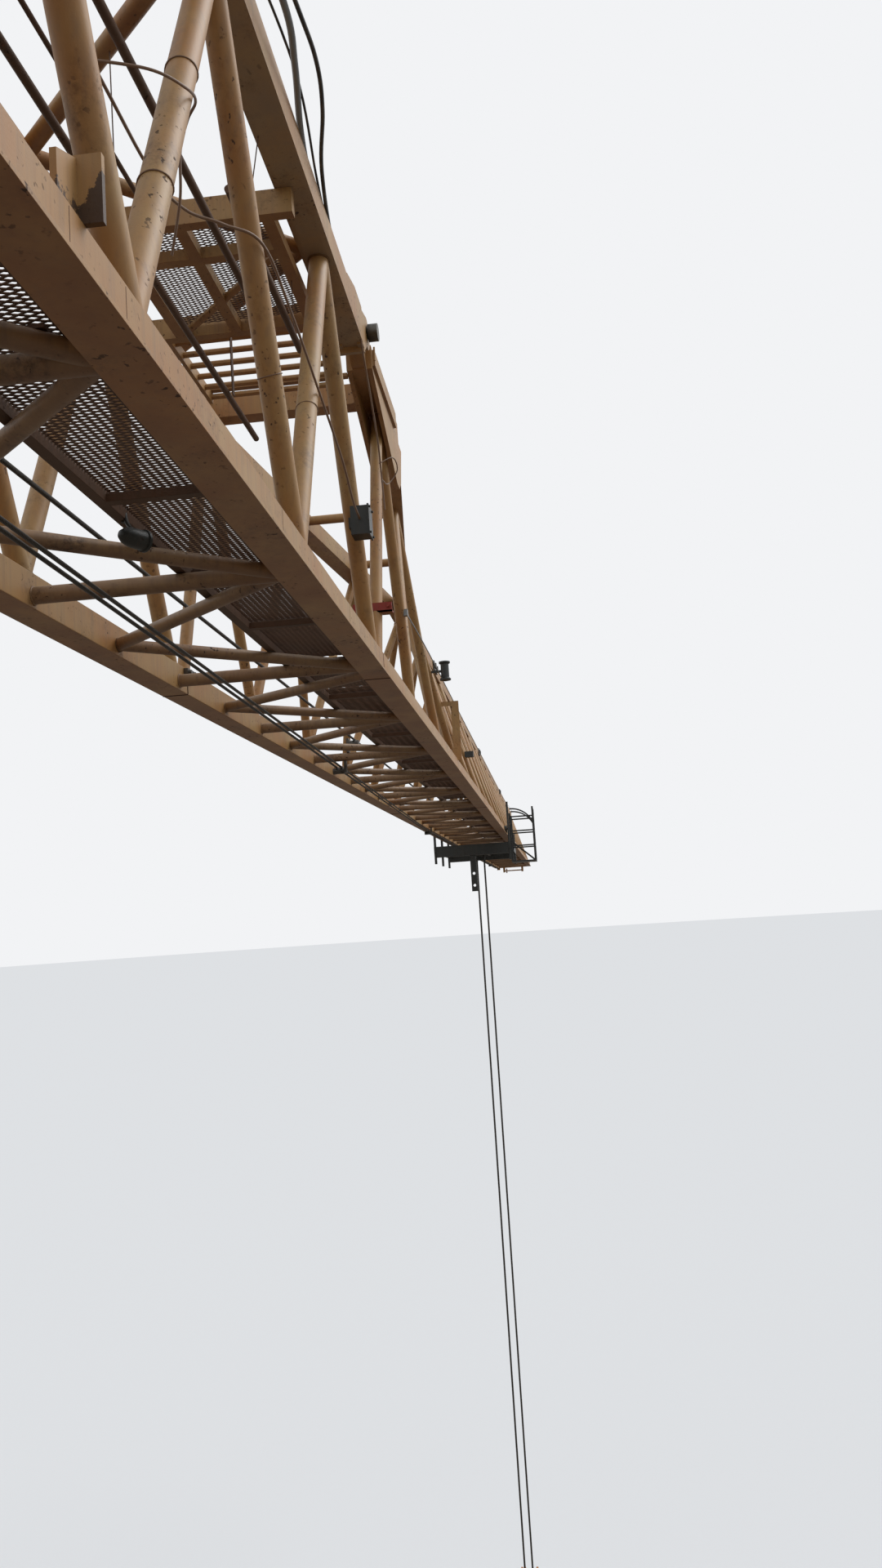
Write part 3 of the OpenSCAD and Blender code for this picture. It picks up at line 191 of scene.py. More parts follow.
def weldRings(feet, axes, normals, radii, bead, around=28, sides=6):
    # a tube of radius r along the unit axis d meets the plane through the foot with the unit normal n in the points
    # foot + r * w + d * t with t = -r * (w . n) / (d . n), for every w at right angles to d; the bead is swept round them
    feet, axes, normals = (np.atleast_2d(a).astype(float) for a in (feet, axes, normals))
    axes = unitLength(axes)
    normals = np.broadcast_to(normals, axes.shape)
    radii = np.broadcast_to(np.asarray(radii, float).reshape(-1, 1, 1), (len(feet), 1, 1))
    first = unitLength(np.cross(axes, np.where(np.abs(axes[:, :1]) > 0.9, [[0, 0, 1.0]], [[1.0, 0, 0]])))
    second = np.cross(axes, first)
    turn = np.arange(around) * 2 * np.pi / around
    out = np.cos(turn)[None, :, None] * first[:, None] + np.sin(turn)[None, :, None] * second[:, None]
    slide = -radii * (out * normals[:, None]).sum(2, keepdims=True) / (axes * normals).sum(1)[:, None, None]
    middle = feet[:, None] + radii * out + slide * axes[:, None]
    tangent = unitLength(np.roll(middle, -1, 1) - np.roll(middle, 1, 1))
    beyond = unitLength(np.cross(tangent, normals[:, None]))
    rise = np.cross(beyond, tangent)
    # the bead swells and thins seven times round, as a hand weld does
    swell = (bead * (1 + 0.18 * np.cos(turn * 7)))[None, :, None, None]
    ring = circleOutline(1, sides)
    verts = middle[:, :, None] + swell * (ring[:, :1] * beyond[:, :, None] + ring[:, 1:] * rise[:, :, None])
    return verts.reshape(-1, 3), ringFaces(verts.shape[:3], capped=False, closed=True)


def boltHeads(places, axis, across):
    # hexagon heads on washers at the places, standing along the axis; across is the width over the flats
    places, axis = np.atleast_2d(places).astype(float), np.asarray(axis, float)
    washer = straightTubes(places - axis * 0.001, places + axis * 0.12 * across, 0.62 * across, 20)
    return joinShapes(washer, straightTubes(places, places + axis * 0.75 * across, 0.577 * across, 6))


def latheAlong(centre, axis, profile, sides=28, capped=True):
    # profile rows are (distance along the axis, radius); each is turned about the axis as one ring
    profile, axis = np.asarray(profile, float), unitLength(np.asarray(axis, float))
    across = unitLength(np.cross(axis, (0, 0, 1) if abs(axis[2]) < 0.9 else (1, 0, 0)))
    ring = circleOutline(1, sides)
    disc = ring[:, :1] * across + ring[:, 1:] * np.cross(axis, across)
    verts = centre + profile[:, :1, None] * axis + profile[:, 1:, None] * disc[None]
    return verts.reshape(-1, 3), ringFaces(verts.shape[:2], capped)


def drumCoil(drum, sides=6, around=28):
    # helix along y: middle + (radius cos a, low + pitch a / 2 pi, radius sin a)
    turns = (drum["high"] - drum["low"]) / drum["pitch"]
    turn = np.linspace(0, turns * 2 * np.pi, int(turns * around))
    along = drum["low"] + drum["pitch"] * turn / (2 * np.pi)
    path = np.stack([drum["radius"] * np.cos(turn), along, drum["radius"] * np.sin(turn)], 1) + drum["middle"]
    return carryOutline(path, circleOutline(drum["rope"], sides), lift=(0, 1, 0))


def plateBetween(corners, thickness):
    # a flat plate: its outline in the plane of x and z, standing between y and y + thickness
    corners = np.asarray(corners, float)
    return np.concatenate([corners, corners + [0, thickness, 0]]), ringFaces((2, len(corners)))


def plainBoxes(lows, highs):
    # eight corners a box: each picks the low or the high value of x, y and z
    lows, highs = np.atleast_2d(lows).astype(float), np.atleast_2d(highs).astype(float)
    pick = np.array([[0, 0, 0], [1, 0, 0], [1, 1, 0], [0, 1, 0], [0, 0, 1], [1, 0, 1], [1, 1, 1], [0, 1, 1]])
    verts = lows[:, None] + (highs - lows)[:, None] * pick[None]
    sides = np.array([[3, 2, 1, 0], [4, 5, 6, 7], [0, 1, 5, 4], [1, 2, 6, 5], [2, 3, 7, 6], [3, 0, 4, 7]])
    faces = (np.arange(len(lows))[:, None, None] * 8 + sides[None]).reshape(-1, 4)
    return verts.reshape(-1, 3), [tuple(face) for face in faces.tolist()]


# Finishes
def linearColour(hexValue):
    # the inverse of the sRGB curve: value / 12.92 up to 0.04045, and ((value + 0.055) / 1.055) ^ 2.4 above it
    srgb = np.array([int(hexValue[i:i + 2], 16) for i in (1, 3, 5)]) / 255
    linear = np.where(srgb <= 0.04045, srgb / 12.92, ((srgb + 0.055) / 1.055) ** 2.4)
    return (*linear.tolist(), 1.0)


def addNode(tree, kind, links=None, **settings):
    # one node with its settings, and each input linked or given its value
    node = tree.nodes.new("ShaderNode" + kind)
    for name, value in settings.items():
        setattr(node, name, value)
    for socket, source in (links or {}).items():
        if isinstance(source, bpy.types.NodeSocket):
            tree.links.new(source, node.inputs[socket])
        else:
            node.inputs[socket].default_value = source
    return node


def startFinish(name, values=None):
    # a new material with the shader's even values; Object coordinates place its patterns
    finish = bpy.data.materials.new(name)
    finish.use_nodes = True
    tree = finish.node_tree
    shader = tree.nodes["Principled BSDF"]
    for socket, value in (values or {}).items():
        shader.inputs[socket].default_value = value
    return finish, tree, shader, addNode(tree, "TexCoord").outputs["Object"]


def noiseAt(tree, place, millimetres, detail=3, stretch=(1, 1, 1), rough=0.6):
    # noise whose blotches are about that many millimetres across, drawn out by stretch
    scale = tuple(1000 / millimetres / s for s in stretch)
    moved = addNode(tree, "Mapping", {"Vector": place, "Scale": scale}).outputs[0]
    return addNode(tree, "TexNoise", {"Vector": moved, "Scale": 1.0, "Detail": detail, "Roughness": rough}).outputs["Fac"]


def patchesAt(tree, place, millimetres, low, high, *noise):
    # the noise cut to patches: 0 where it is below low, 1 above high, straight between them
    cloud = noiseAt(tree, place, millimetres, *noise)
    return addNode(tree, "MapRange", {"Value": cloud, "From Min": low, "From Max": high}).outputs[0]


def layColour(tree, under, over, *amounts):
    # the hex colour over laid on the colour under, as strong as the product of the amounts
    amount = amounts[0]
    for factor in amounts[1:]:
        amount = addNode(tree, "Math", {0: amount, 1: factor}, operation="MULTIPLY").outputs[0]
    return addNode(tree, "Mix", {0: amount, 6: under, 7: linearColour(over)}, data_type="RGBA").outputs[2]


def joinShader(tree, shader, colour, rough=None, relief=None):
    # colour, roughness and relief (height, strength, depth in metres) go to the shader
    tree.links.new(colour, shader.inputs["Base Color"])
    if rough is not None:
        tree.links.new(rough, shader.inputs["Roughness"])
    if relief:
        bump = addNode(tree, "Bump", dict(zip(("Height", "Strength", "Distance"), relief)))
        tree.links.new(bump.outputs[0], shader.inputs["Normal"])


# beside the coat's own colours, each look gives the colour, the patch size and the strength of the painted shade on
# faces that look down
enamelLook = {
    "paint": "#A97844", "faded": "#AE8C5A", "dust": "#8C6E50", "undersideShade": "#7A4C2A", "rust": "#70401F", "deepRust": "#2E1C12",
    "patchMm": 240, "streakMm": 15, "undersideShadePatchMm": 140, "groupMm": 260, "chipMm": 12, "stainMm": 130, "mottleMm": 14,
    "bleedMm": 11, "brushMm": 3.5, "streaks": 0.45, "undersideShadeStrength": 0.82, "rustRuns": 0.45, "chips": 0.85, "stains": 0.45,
    "roughness": 0.52,
}


def weatheredEnamel(name, look):
    # brushed alkyd enamel on steel, years in the sun: chalky patches, rust where it chips, brown runs, and painted
    # shade on faces that look down
    finish, tree, shader, place = startFinish(name)
    colour = layColour(tree, linearColour(look["paint"]), look["faded"], patchesAt(tree, place, look["patchMm"], 0.35, 0.7))
    # chalk and dust run down in streaks
    runs = patchesAt(tree, place, look["streakMm"], 0.46, 0.72, 2, (1, 1, 22))
    colour = layColour(tree, colour, look["dust"], runs, look["streaks"])
    # painted shade: faces that look down are darkened, unevenly in patches
    normal = addNode(tree, "NewGeometry").outputs["Normal"]
    down = addNode(tree, "SeparateXYZ", {0: normal}).outputs[2]
    below = addNode(tree, "MapRange", {"Value": down, "From Min": -0.25, "From Max": -0.9}).outputs[0]
    cloud = patchesAt(tree, place, look["undersideShadePatchMm"], 0.25, 0.65, 4)
    clouded = addNode(tree, "Math", {0: cloud, 1: 0.55, 2: 0.45}, operation="MULTIPLY_ADD").outputs[0]
    colour = layColour(tree, colour, look["undersideShade"], below, clouded, look["undersideShadeStrength"])
    # rust: mottled stains a hand across, and small round chips in groups with a run below them
    stains = patchesAt(tree, place, look["stainMm"], 0.54, 0.68, 4)
    mottle = patchesAt(tree, place, look["mottleMm"], 0.42, 0.64, 6, (1, 1, 1), 0.75)
    colour = layColour(tree, colour, look["deepRust"], stains, mottle, look["stains"])
    groups = patchesAt(tree, place, look["groupMm"], 0.45, 0.62)
    bleed = patchesAt(tree, place, look["bleedMm"], 0.55, 0.75, 3, (1, 1, 14))
    colour = layColour(tree, colour, look["rust"], groups, bleed, look["rustRuns"])
    chips = patchesAt(tree, place, look["chipMm"], 0.64, 0.69, 2, (1, 1, 1), 0.5)
    chipped = addNode(tree, "Math", {0: groups, 1: chips}, operation="MULTIPLY").outputs[0]
    chipped = addNode(tree, "Math", {0: chipped, 1: look["chips"]}, operation="MULTIPLY").outputs[0]
    colour = layColour(tree, colour, look["deepRust"], chipped)
    if "rustEdge" in look:
        # rust below the sloping line z + tilt * y = edge, moved up and down by noise
        at = addNode(tree, "SeparateXYZ", {0: place}).outputs
        rise = addNode(tree, "Math", {0: at[1], 1: look["rustTilt"], 2: at[2]}, operation="MULTIPLY_ADD").outputs[0]
        ragged = noiseAt(tree, place, 12, 6, rough=0.7)
        rise = addNode(tree, "Math", {0: ragged, 1: -0.07, 2: rise}, operation="MULTIPLY_ADD").outputs[0]
        edge = {"Value": rise, "From Min": look["rustEdge"] - 0.033, "From Max": look["rustEdge"] - 0.037}
        colour = layColour(tree, colour, look["deepRust"], addNode(tree, "MapRange", edge).outputs[0], 0.9)
    dull = addNode(tree, "Math", {0: chipped, 1: 0.3, 2: look["roughness"]}, operation="MULTIPLY_ADD").outputs[0]
    # brush marks, and chips eaten into the coat
    marks = noiseAt(tree, place, look["brushMm"])
    relief = addNode(tree, "Math", {0: chipped, 1: -0.8, 2: marks}, operation="MULTIPLY_ADD").outputs[0]
    joinShader(tree, shader, colour, dull, (relief, 0.25, 0.0008))
    return finish


# ochre top coat, chalked and warm
ochreEnamel = weatheredEnamel("ochreEnamel", enamelLook)
# the walkway's coat is trodden and rusted through: dull brown
walkwayLook = dict(enamelLook, paint="#6A4C37", faded="#5F4839", dust="#54412F", undersideShade="#46301F", rustRuns=0.7,
                   roughness=0.7)
rustyWalkwaySteel = weatheredEnamel("rustyWalkwaySteel", walkwayLook)
# steel without a coat: dark, dry rust
rustLook = dict(enamelLook, paint="#4A3020", faded="#3C281C", dust="#54402F", undersideShade="#2C1C12", roughness=0.85)
bareRust = weatheredEnamel("bareRust", rustLook)
# the top chords' undersides face the open sky between the tubes: their painted shade on faces that look down is paler
shadedEnamel = weatheredEnamel("shadedEnamel", dict(enamelLook, undersideShade="#8E7862", undersideShadeStrength=0.9))
# the floor lacing's coat: darker and browner, with more rust stains and chips, and its own colour of painted shade on
# faces that look down
floorLook = dict(enamelLook, paint="#93704F", faded="#9A7D5C", dust="#6E5847", undersideShade="#6A4C36", stains=0.85, chips=1.0)
darkerFloorEnamel = weatheredEnamel("darkerFloorEnamel", floorLook)
# machine grey, which hides its rust better
greyLook = dict(enamelLook, paint="#6C7276", faded="#7C8184", dust="#5E5A54", undersideShade="#2E2C2A", rustRuns=0.25, chips=0.5)
greyMachineEnamel = weatheredEnamel("greyMachineEnamel", greyLook)
# the cabinet's pale coat, dusty but sound
cabinetLook = dict(greyLook, paint="#A8ABA9", faded="#B4B6B2", dust="#84807A")
paleCabinetEnamel = weatheredEnamel("paleCabinetEnamel", cabinetLook)
# black enamel under grease: dark, with a dull shine
blackLook = dict(enamelLook, paint="#252826", faded="#2E312E", dust="#3A342C", undersideShade="#151412", rust="#3A261A",
                 rustRuns=0.35, roughness=0.45)
greasyDarkEnamel = weatheredEnamel("greasyDarkEnamel", blackLook)
# the hook block's warning orange, dulled
hookEnamel = weatheredEnamel("hookEnamel", dict(enamelLook, paint="#B4692A", faded="#AE7238", dust="#7A5A3C"))
# red oxide primer, matt
redOxidePaint = weatheredEnamel("redOxidePaint", dict(enamelLook, paint="#8E2A20", faded="#963A2C", dust="#6A3A2C"))


def bareSteel(name, tint, roughness, greaseAmount):
    # machined or galvanised steel outdoors: a cloudy grey sheen, with dark grease in patches
    finish, tree, shader, place = startFinish(name, {"Metallic": 0.85})
    cloud = noiseAt(tree, place, 30, 4)
    darker = tuple(0.45 * c for c in linearColour(tint)[:3]) + (1.0,)
    colour = layColour(tree, darker, tint, cloud)
    colour = layColour(tree, colour, "#1C1712", patchesAt(tree, place, 60, 0.45, 0.6, 4), greaseAmount)
    rough = addNode(tree, "Math", {0: cloud, 1: 0.25, 2: roughness - 0.12}, operation="MULTIPLY_ADD").outputs[0]
    joinShader(tree, shader, colour, rough, (noiseAt(tree, place, 4), 0.15, 0.0005))
    return finish


# hot-dip zinc: pale and cloudy
galvanisedSteel = bareSteel("galvanisedSteel", "#9A9C9B", 0.45, 0.3)
# running faces: brown-grey under grease
greasedSteel = bareSteel("greasedSteel", "#6A6660", 0.4, 0.8)


def twistedRope(name):
    # six-strand wire rope in its grease: slanting strands with a dull dark sheen
    finish, tree, shader, place = startFinish(name, {"Metallic": 0.6, "Roughness": 0.5})
    # one strand every 9 mm of the rope's length, drawn that coarse so that it shows on a 10 mm rope
    slant = addNode(tree, "Mapping", {"Vector": place, "Rotation": (0.6, 0.6, 0.6), "Scale": (110, 110, 110)}).outputs[0]
    waves = addNode(tree, "TexWave", {"Vector": slant, "Scale": 1.0, "Distortion": 0.4}).outputs["Fac"]
    joinShader(tree, shader, layColour(tree, linearColour("#15120F"), "#4A443C", waves), relief=(waves, 0.6, 0.001))
    return finish


greasedWireRope = twistedRope("greasedWireRope")


def cableSheath(name, tint, sheen):
    # extruded PVC, once glossy, with dust on it
    finish, tree, shader, place = startFinish(name, {"Roughness": sheen})
    colour = layColour(tree, linearColour(tint), "#8A7F72", patchesAt(tree, place, 45, 0.45, 0.75, 4), 0.35)
    joinShader(tree, shader, colour, relief=(noiseAt(tree, place, 6, 2), 0.1, 0.0005))
    return finish


blackPvc = cableSheath("blackPvc", "#1B1B1C", 0.45)
greyPvc = cableSheath("greyPvc", "#7E8286", 0.5)
tanPvc = cableSheath("tanPvc", "#7A5C44", 0.5)


def castConcrete(name):
    # grey concrete from a steel mould: blotches, pores and rain marks
    finish, tree, shader, place = startFinish(name, {"Roughness": 0.88})
    colour = layColour(tree, linearColour("#8C887F"), "#B0ACA2", noiseAt(tree, place, 180, 5))
    colour = layColour(tree, colour, "#625C52", patchesAt(tree, place, 24, 0.5, 0.8, 2, (1, 1, 20)), 0.5)
    pores = patchesAt(tree, place, 7, 0.7, 0.74, 2)
    joinShader(tree, shader, layColour(tree, colour, "#4E4A43", pores), relief=(pores, 0.5, -0.002))
    return finish


ballastConcrete = castConcrete("ballastConcrete")


def safetyGlass(name):
    # laminated pane, a little green, with dust along its surface
    finish, tree, shader, place = startFinish(name, {"Transmission Weight": 0.9, "IOR": 1.5})
    dust = patchesAt(tree, place, 120, 0.4, 0.8, 5)
    rough = addNode(tree, "Math", {0: dust, 1: 0.08, 2: 0.02}, operation="MULTIPLY_ADD").outputs[0]
    joinShader(tree, shader, layColour(tree, linearColour("#C2D2CE"), "#A9ABA4", dust), rough)
    return finish


cabGlass = safetyGlass("cabGlass")
print("stage: finishes made")

# The CAD's solids with rounded edges and their finishes
finishOf = {
    "yellow_paint": ochreEnamel, "bare_steel": greasedSteel, "grey_paint": greyMachineEnamel,
    "greasy_steel": greasyDarkEnamel, "wire_rope": greasedWireRope, "window_glass": cabGlass,
    "ballast_blocks": ballastConcrete, "cabinet_paint": paleCabinetEnamel, "walkway_steel": rustyWalkwaySteel,
}
ownFinish = {"hook_block": hookEnamel, "root_top_chords": shadedEnamel}
for name, node in nodes.items():
    node.data.materials.clear()
    node.data.materials.append(ownFinish.get(name, finishOf[slotOf[name]]))
roundedEdges = {
    "near_bottom_chord": 0.004, "far_bottom_chord": 0.004, "root_top_chords": 0.004, "taper_top_chords": 0.004,
    "apex_chord": 0.004, "mast_legs": 0.003, "base_cross": 0.004, "slewing_tower": 0.004, "turntable": 0.003,
    "slewing_support": 0.003, "counter_jib_beams": 0.004, "counter_jib_truss": 0.003, "counterweights": 0.008,
    "cab_shell": 0.008, "electric_cabinet": 0.004, "trolley_frame": 0.003, "trolley_cage": 0.002,
    "hoist_winch": 0.003, "hook_block": 0.004, "walkway_frame": 0.001, "jib_tip": 0.003, "joint_pins": 0.0015,
    "trolley_wheels": 0.002, "cab_platform": 0.003, "top_platform": 0.001, "winch_drum": 0.003,
}
for name, width in roundedEdges.items():
    softenNode(name, width)
print("stage: edges rounded")

# Jib lacing as round tubes
chordLow, chordHigh = boxCorners("near_bottom_chord")
jib = {
    "rootX": 0.54, "sectionLength": 5.0, "sections": 5, "footStart": 0.06, "footStep": 1.0, "lastFoot": 4.925,
    "rootTube": 0.025, "sideTube": 0.020, "floorTube": 0.019, "slantTube": 0.016, "slantLift": 0.001,
    "bend": 6.24, "merge": 8.69, "chordY": 0.306, "mergeY": 0.041, "mergedY": 0.022, "chordIn": 0.275,
    "floorZ": chordLow[2] + 0.029, "chordTop": chordHigh[2], "topZ": 11.414,
}


def lacingStations():
    # feet count back from the section's end by whole steps, peaks stand half a step before each foot
    feet = jib["lastFoot"] - np.arange(4, -1, -1) * jib["footStep"]
    return np.concatenate([[jib["footStart"]], feet]), feet - jib["footStep"] / 2


def zigzagX(section):
    # where along the jib the ten tubes of a section have their feet and their peaks
    feet, peaks = lacingStations()
    start = jib["rootX"] + section * jib["sectionLength"]
    return start + np.stack([feet[:-1], feet[1:]], 1).ravel(), start + np.repeat(peaks, 2)


def topChordY(x):
    # level to the bend, then straight in to the merge, then on the middle line
    return np.interp(x, [jib["bend"], jib["merge"], jib["merge"] + 0.001], [jib["chordY"], jib["mergeY"], jib["mergedY"]])


def sideEnds(section, side):
    # feet on the bottom chord and peaks on the top chord
    footX, peakX = zigzagX(section)
    return pointsAt(footX, side * jib["chordY"], jib["chordTop"]), pointsAt(peakX, side * topChordY(peakX), jib["topZ"])


def floorEnds(section):
    # ten slanting tubes between the bottom chords, then five square to them at the feet, and all their radii
    footX, peakX = zigzagX(section)
    near = pointsAt(np.concatenate([footX, footX[1::2]]), -jib["chordIn"], jib["floorZ"])
    far = pointsAt(np.concatenate([peakX, footX[1::2]]), jib["chordIn"], jib["floorZ"])
    return near, far, np.repeat([jib["slantTube"], jib["floorTube"]], [10, 5])


def sideLacing(side):
    # the root section's tubes are thicker
    return joinShapes(*(sunkTubes(*sideEnds(section, side), jib["sideTube" if section else "rootTube"])
                        for section in range(jib["sections"])))


def floorLacing():
    # the slanting tubes lie a little above the square ones
    shapes = []
    for section in range(jib["sections"]):
        near, far, radii = floorEnds(section)
        lift = np.outer(radii == jib["slantTube"], [0, 0, jib["slantLift"]])
        shapes.append(sunkTubes(near + lift, far + lift, radii))
    return joinShapes(*shapes)


addPiece("near_side_lacing_tubes", *sideLacing(-1), ochreEnamel, "slewing", "yellow_paint", ["near_side_lacing"])
addPiece("far_side_lacing_tubes", *sideLacing(1), ochreEnamel, "slewing", "yellow_paint", ["far_side_lacing"])
addPiece("floor_lacing_tubes", *floorLacing(), darkerFloorEnamel, "slewing", "yellow_paint", ["floor_lacing"])

topRow = {
    "inner": 0.265, "level": 11.453, "x": (0.54, 5.45), "tubes": [0.020, 0.018], "tiesAt": [0.35, 0.65], "tieGap": 0.03,
    "channelLow": [[5.86, -0.265, 11.418], [5.87, -0.265, 11.418], [5.87, -0.265, 11.478]],
    "channelHigh": [[5.87, 0.265, 11.488], [5.93, 0.265, 11.428], [5.93, 0.265, 11.488]],
}


def topLacing():
    # one zigzag: from every peak on the near chord to the far chord half a step to each side
    nearX = zigzagX(0)[1]
    aimX = nearX + np.tile([0.5, -0.5], 5) * jib["footStep"]
    farX = np.clip(aimX, *topRow["x"])
    farY = -topRow["inner"] + 2 * topRow["inner"] * (farX - nearX) / (aimX - nearX)
    zigzag = sunkTubes(pointsAt(nearX, -topRow["inner"], topRow["level"]), pointsAt(farX, farY, topRow["level"]),
                       np.tile(topRow["tubes"], 5))
    tieX = jib["bend"] + (jib["merge"] - jib["bend"]) * np.array(topRow["tiesAt"])
    half = topChordY(tieX) - topRow["tieGap"]
    ties = straightTubes(pointsAt(tieX, -half, topRow["level"]), pointsAt(tieX, half, topRow["level"]), topRow["tubes"][0])
    # the channel between the knuckles: its web and its two flanges
    return joinShapes(zigzag, ties, plainBoxes(topRow["channelLow"], topRow["channelHigh"]))


addPiece("top_lacing_tubes", *topLacing(), ochreEnamel, "slewing", "yellow_paint", ["top_lacing"])

mast = {"base": 0.2, "sections": 6, "height": 1.5, "legMiddle": 0.384, "inner": 0.348, "tube": 0.019, "edge": 0.129}


def mastLacing(quarter):
    # each section has three horizontals and two diagonals that fold between them, on the face y = legMiddle,
    # and the face is turned about the mast's middle by so many quarters
    starts = mast["base"] + mast["height"] * np.arange(mast["sections"])
    levels = starts[:, None] + [mast["edge"], mast["height"] / 2, mast["height"] - mast["edge"]]
    fold = np.concatenate([np.ones(levels.size), np.tile([1, -1], mast["sections"])]) * mast["inner"]
    lowZ = np.concatenate([levels.ravel(), (levels[:, :2] + 2 * mast["tube"]).ravel()])
    highZ = np.concatenate([levels.ravel(), (levels[:, 1:] - 2 * mast["tube"]).ravel()])
    low, high = pointsAt(-fold, mast["legMiddle"], lowZ), pointsAt(fold, mast["legMiddle"], highZ)
    verts, faces = sunkTubes(low, high, mast["tube"], 16)
    c, s = np.cos(quarter * np.pi / 2), np.sin(quarter * np.pi / 2)
    return verts @ np.array([[c, s, 0], [-s, c, 0], [0, 0, 1]]), faces


for face, quarter in (("front", -1), ("back", 1), ("left", 0), ("right", 2)):
    name = "mast_lacing_" + face
    addPiece(name + "_tubes", *mastLacing(quarter), ochreEnamel, bodyOf[name], "yellow_paint", [name])
print("stage: lacing made")

# Weld beads where the tubes meet the chords, with fewer steps round them from the third section on
weld = {"rootBead": 0.0045, "sideBead": 0.0036, "floorBead": 0.0034, "sideSteps": 28, "floorSteps": 24, "crease": 1.2}


def lacingWelds(side):
    # a ring at the foot and at the peak of every side tube
    shapes = []
    for section in range(jib["sections"]):
        low, high = sideEnds(section, side)
        radius, bead = (jib["sideTube"], weld["sideBead"]) if section else (jib["rootTube"], weld["rootBead"])
        steps = weld["sideSteps"] // (1 if section < 2 else 2)
        shapes += [weldRings(low, high - low, (0, 0, 1), radius, bead, steps),
                   weldRings(high, high - low, (0, 0, -1), radius, bead, steps)]
    return joinShapes(*shapes)


def floorWelds():
    # a ring at both ends of every floor tube
    shapes = []
    for section in range(jib["sections"]):
        near, far, radii = floorEnds(section)
        steps = weld["floorSteps"] // (1 if section < 2 else 2)
        shapes += [weldRings(near, far - near, (0, 1, 0), radii, weld["floorBead"], steps, 5),
                   weldRings(far, far - near, (0, -1, 0), radii, weld["floorBead"], steps, 5)]
    return joinShapes(*shapes)


for name, shape, finish in (("near", lacingWelds(-1), ochreEnamel), ("far", lacingWelds(1), ochreEnamel),
                            ("floor", floorWelds(), darkerFloorEnamel)):
    addPiece(name + "_lacing_welds", *shape, finish, "slewing", "yellow_paint", crease=weld["crease"])

seam = {
    "plateX": [2.10, 3.215, 3.384, 4.212, 4.95], "outY": 0.3362, "inY": 0.2748, "rimY": 0.354,
    "outZ": 10.409, "inZ": 10.401, "topZ": 10.476, "underZ": 10.3998, "thin": 0.0012, "thick": 0.0016,
}


def seamRods(x, low, high, radius):
    # thin rods half sunk in the steel, at every x from low to high, both (y, z)
    return straightTubes(pointsAt(x, *low), pointsAt(x, *high), radius, 8)


def chordSeams():
    # where the near chord's side plates were joined, and round both chords at the section joints
    jointX = jib["rootX"] + jib["sectionLength"] * np.arange(1, jib["sections"])
    seams = [seamRods(seam["plateX"], (-seam["outY"], seam["outZ"]), (-seam["outY"], seam["topZ"]), seam["thin"])]
    for side in (-1, 1):
        outY, inY, rimY = side * seam["outY"], side * seam["inY"], side * seam["rimY"]
        seams += [seamRods(jointX, (outY, seam["outZ"]), (outY, seam["topZ"]), seam["thick"]),
                  seamRods(jointX, (inY, seam["inZ"]), (inY, seam["topZ"]), seam["thick"]),
                  seamRods(jointX, (inY, seam["underZ"]), (rimY, seam["underZ"]), seam["thick"])]
    return joinShapes(*seams)


addPiece("chord_seams", *chordSeams(), bareRust, "slewing", "walkway_steel")
print("stage: welds made")

# Expanded metal: twice as coarse from the second zone on and three times in the third
grating = {
    "longWay": 0.027, "shortWay": 0.011, "strand": 0.0029, "thick": 0.0016, "y": (-0.257, -0.045), "z": 10.4726,
    "edge": 0.002, "jointGap": 0.042, "zones": [0.0, 6.0, 12.0, 30.0], "shortest": 0.1,
}
platform = {"low": (4.672, -0.253), "high": (5.168, 0.149), "z": 11.3843, "strand": 0.0021}


def expandedMetal(low, high, z, strand, wider=1):
    # strand j zigzags along y: x = x_j + shortWay / 4 * (-1) ** (j + k) at y_k, so that neighbours meet at the knuckles
    shortWay, steps = grating["shortWay"] * wider, int((high[1] - low[1]) / (grating["longWay"] * wider / 2))
    rows = np.arange(low[0] + shortWay / 2, high[0] - shortWay / 4, shortWay / 2)
    y = np.linspace(low[1], high[1], steps + 1)
    j, k = np.meshgrid(np.arange(len(rows)), np.arange(steps + 1), indexing="ij")
    x = rows[j] + shortWay / 4 * (-1.0) ** (j + k)
    corners = np.array([[-1, -1], [1, -1], [1, 1], [-1, 1]]) * [strand * wider / 2, grating["thick"] * wider / 2]
    px = x[..., None] + corners[:, 0]
    # the strands lean back, so that the sheet closes up when it is seen from afar and below
    py, pz = np.broadcast_arrays(y[k][..., None], z + corners[:, 1] - 0.1 * corners[:, 0])
    return np.stack([px, py, pz], -1).reshape(-1, 3), ringFaces(px.shape)


walkwayLow, walkwayHigh = boxCorners("walkway_mesh")
sheets = []
for section in range(jib["sections"]):
    sectionX = jib["rootX"] + section * jib["sectionLength"]
    startX = max(walkwayLow[0] + grating["edge"], sectionX + grating["jointGap"])
    endX = min(walkwayHigh[0] - grating["edge"], sectionX + jib["sectionLength"] - grating["jointGap"])
    for wider in (1, 2, 3):
        low = max(startX, grating["zones"][wider - 1]), grating["y"][0]
        high = min(endX, grating["zones"][wider]), grating["y"][1]
        if high[0] - low[0] > grating["shortest"]:
            sheets.append(expandedMetal(low, high, grating["z"], grating["strand"], wider))
sheets.append(expandedMetal(platform["low"], platform["high"], platform["z"], platform["strand"]))
addPiece("walkway_expanded_metal", *joinShapes(*sheets), rustyWalkwaySteel, "slewing", "walkway_steel",
         ["walkway_mesh"], crease=0.2)
print("stage: expanded metal made")

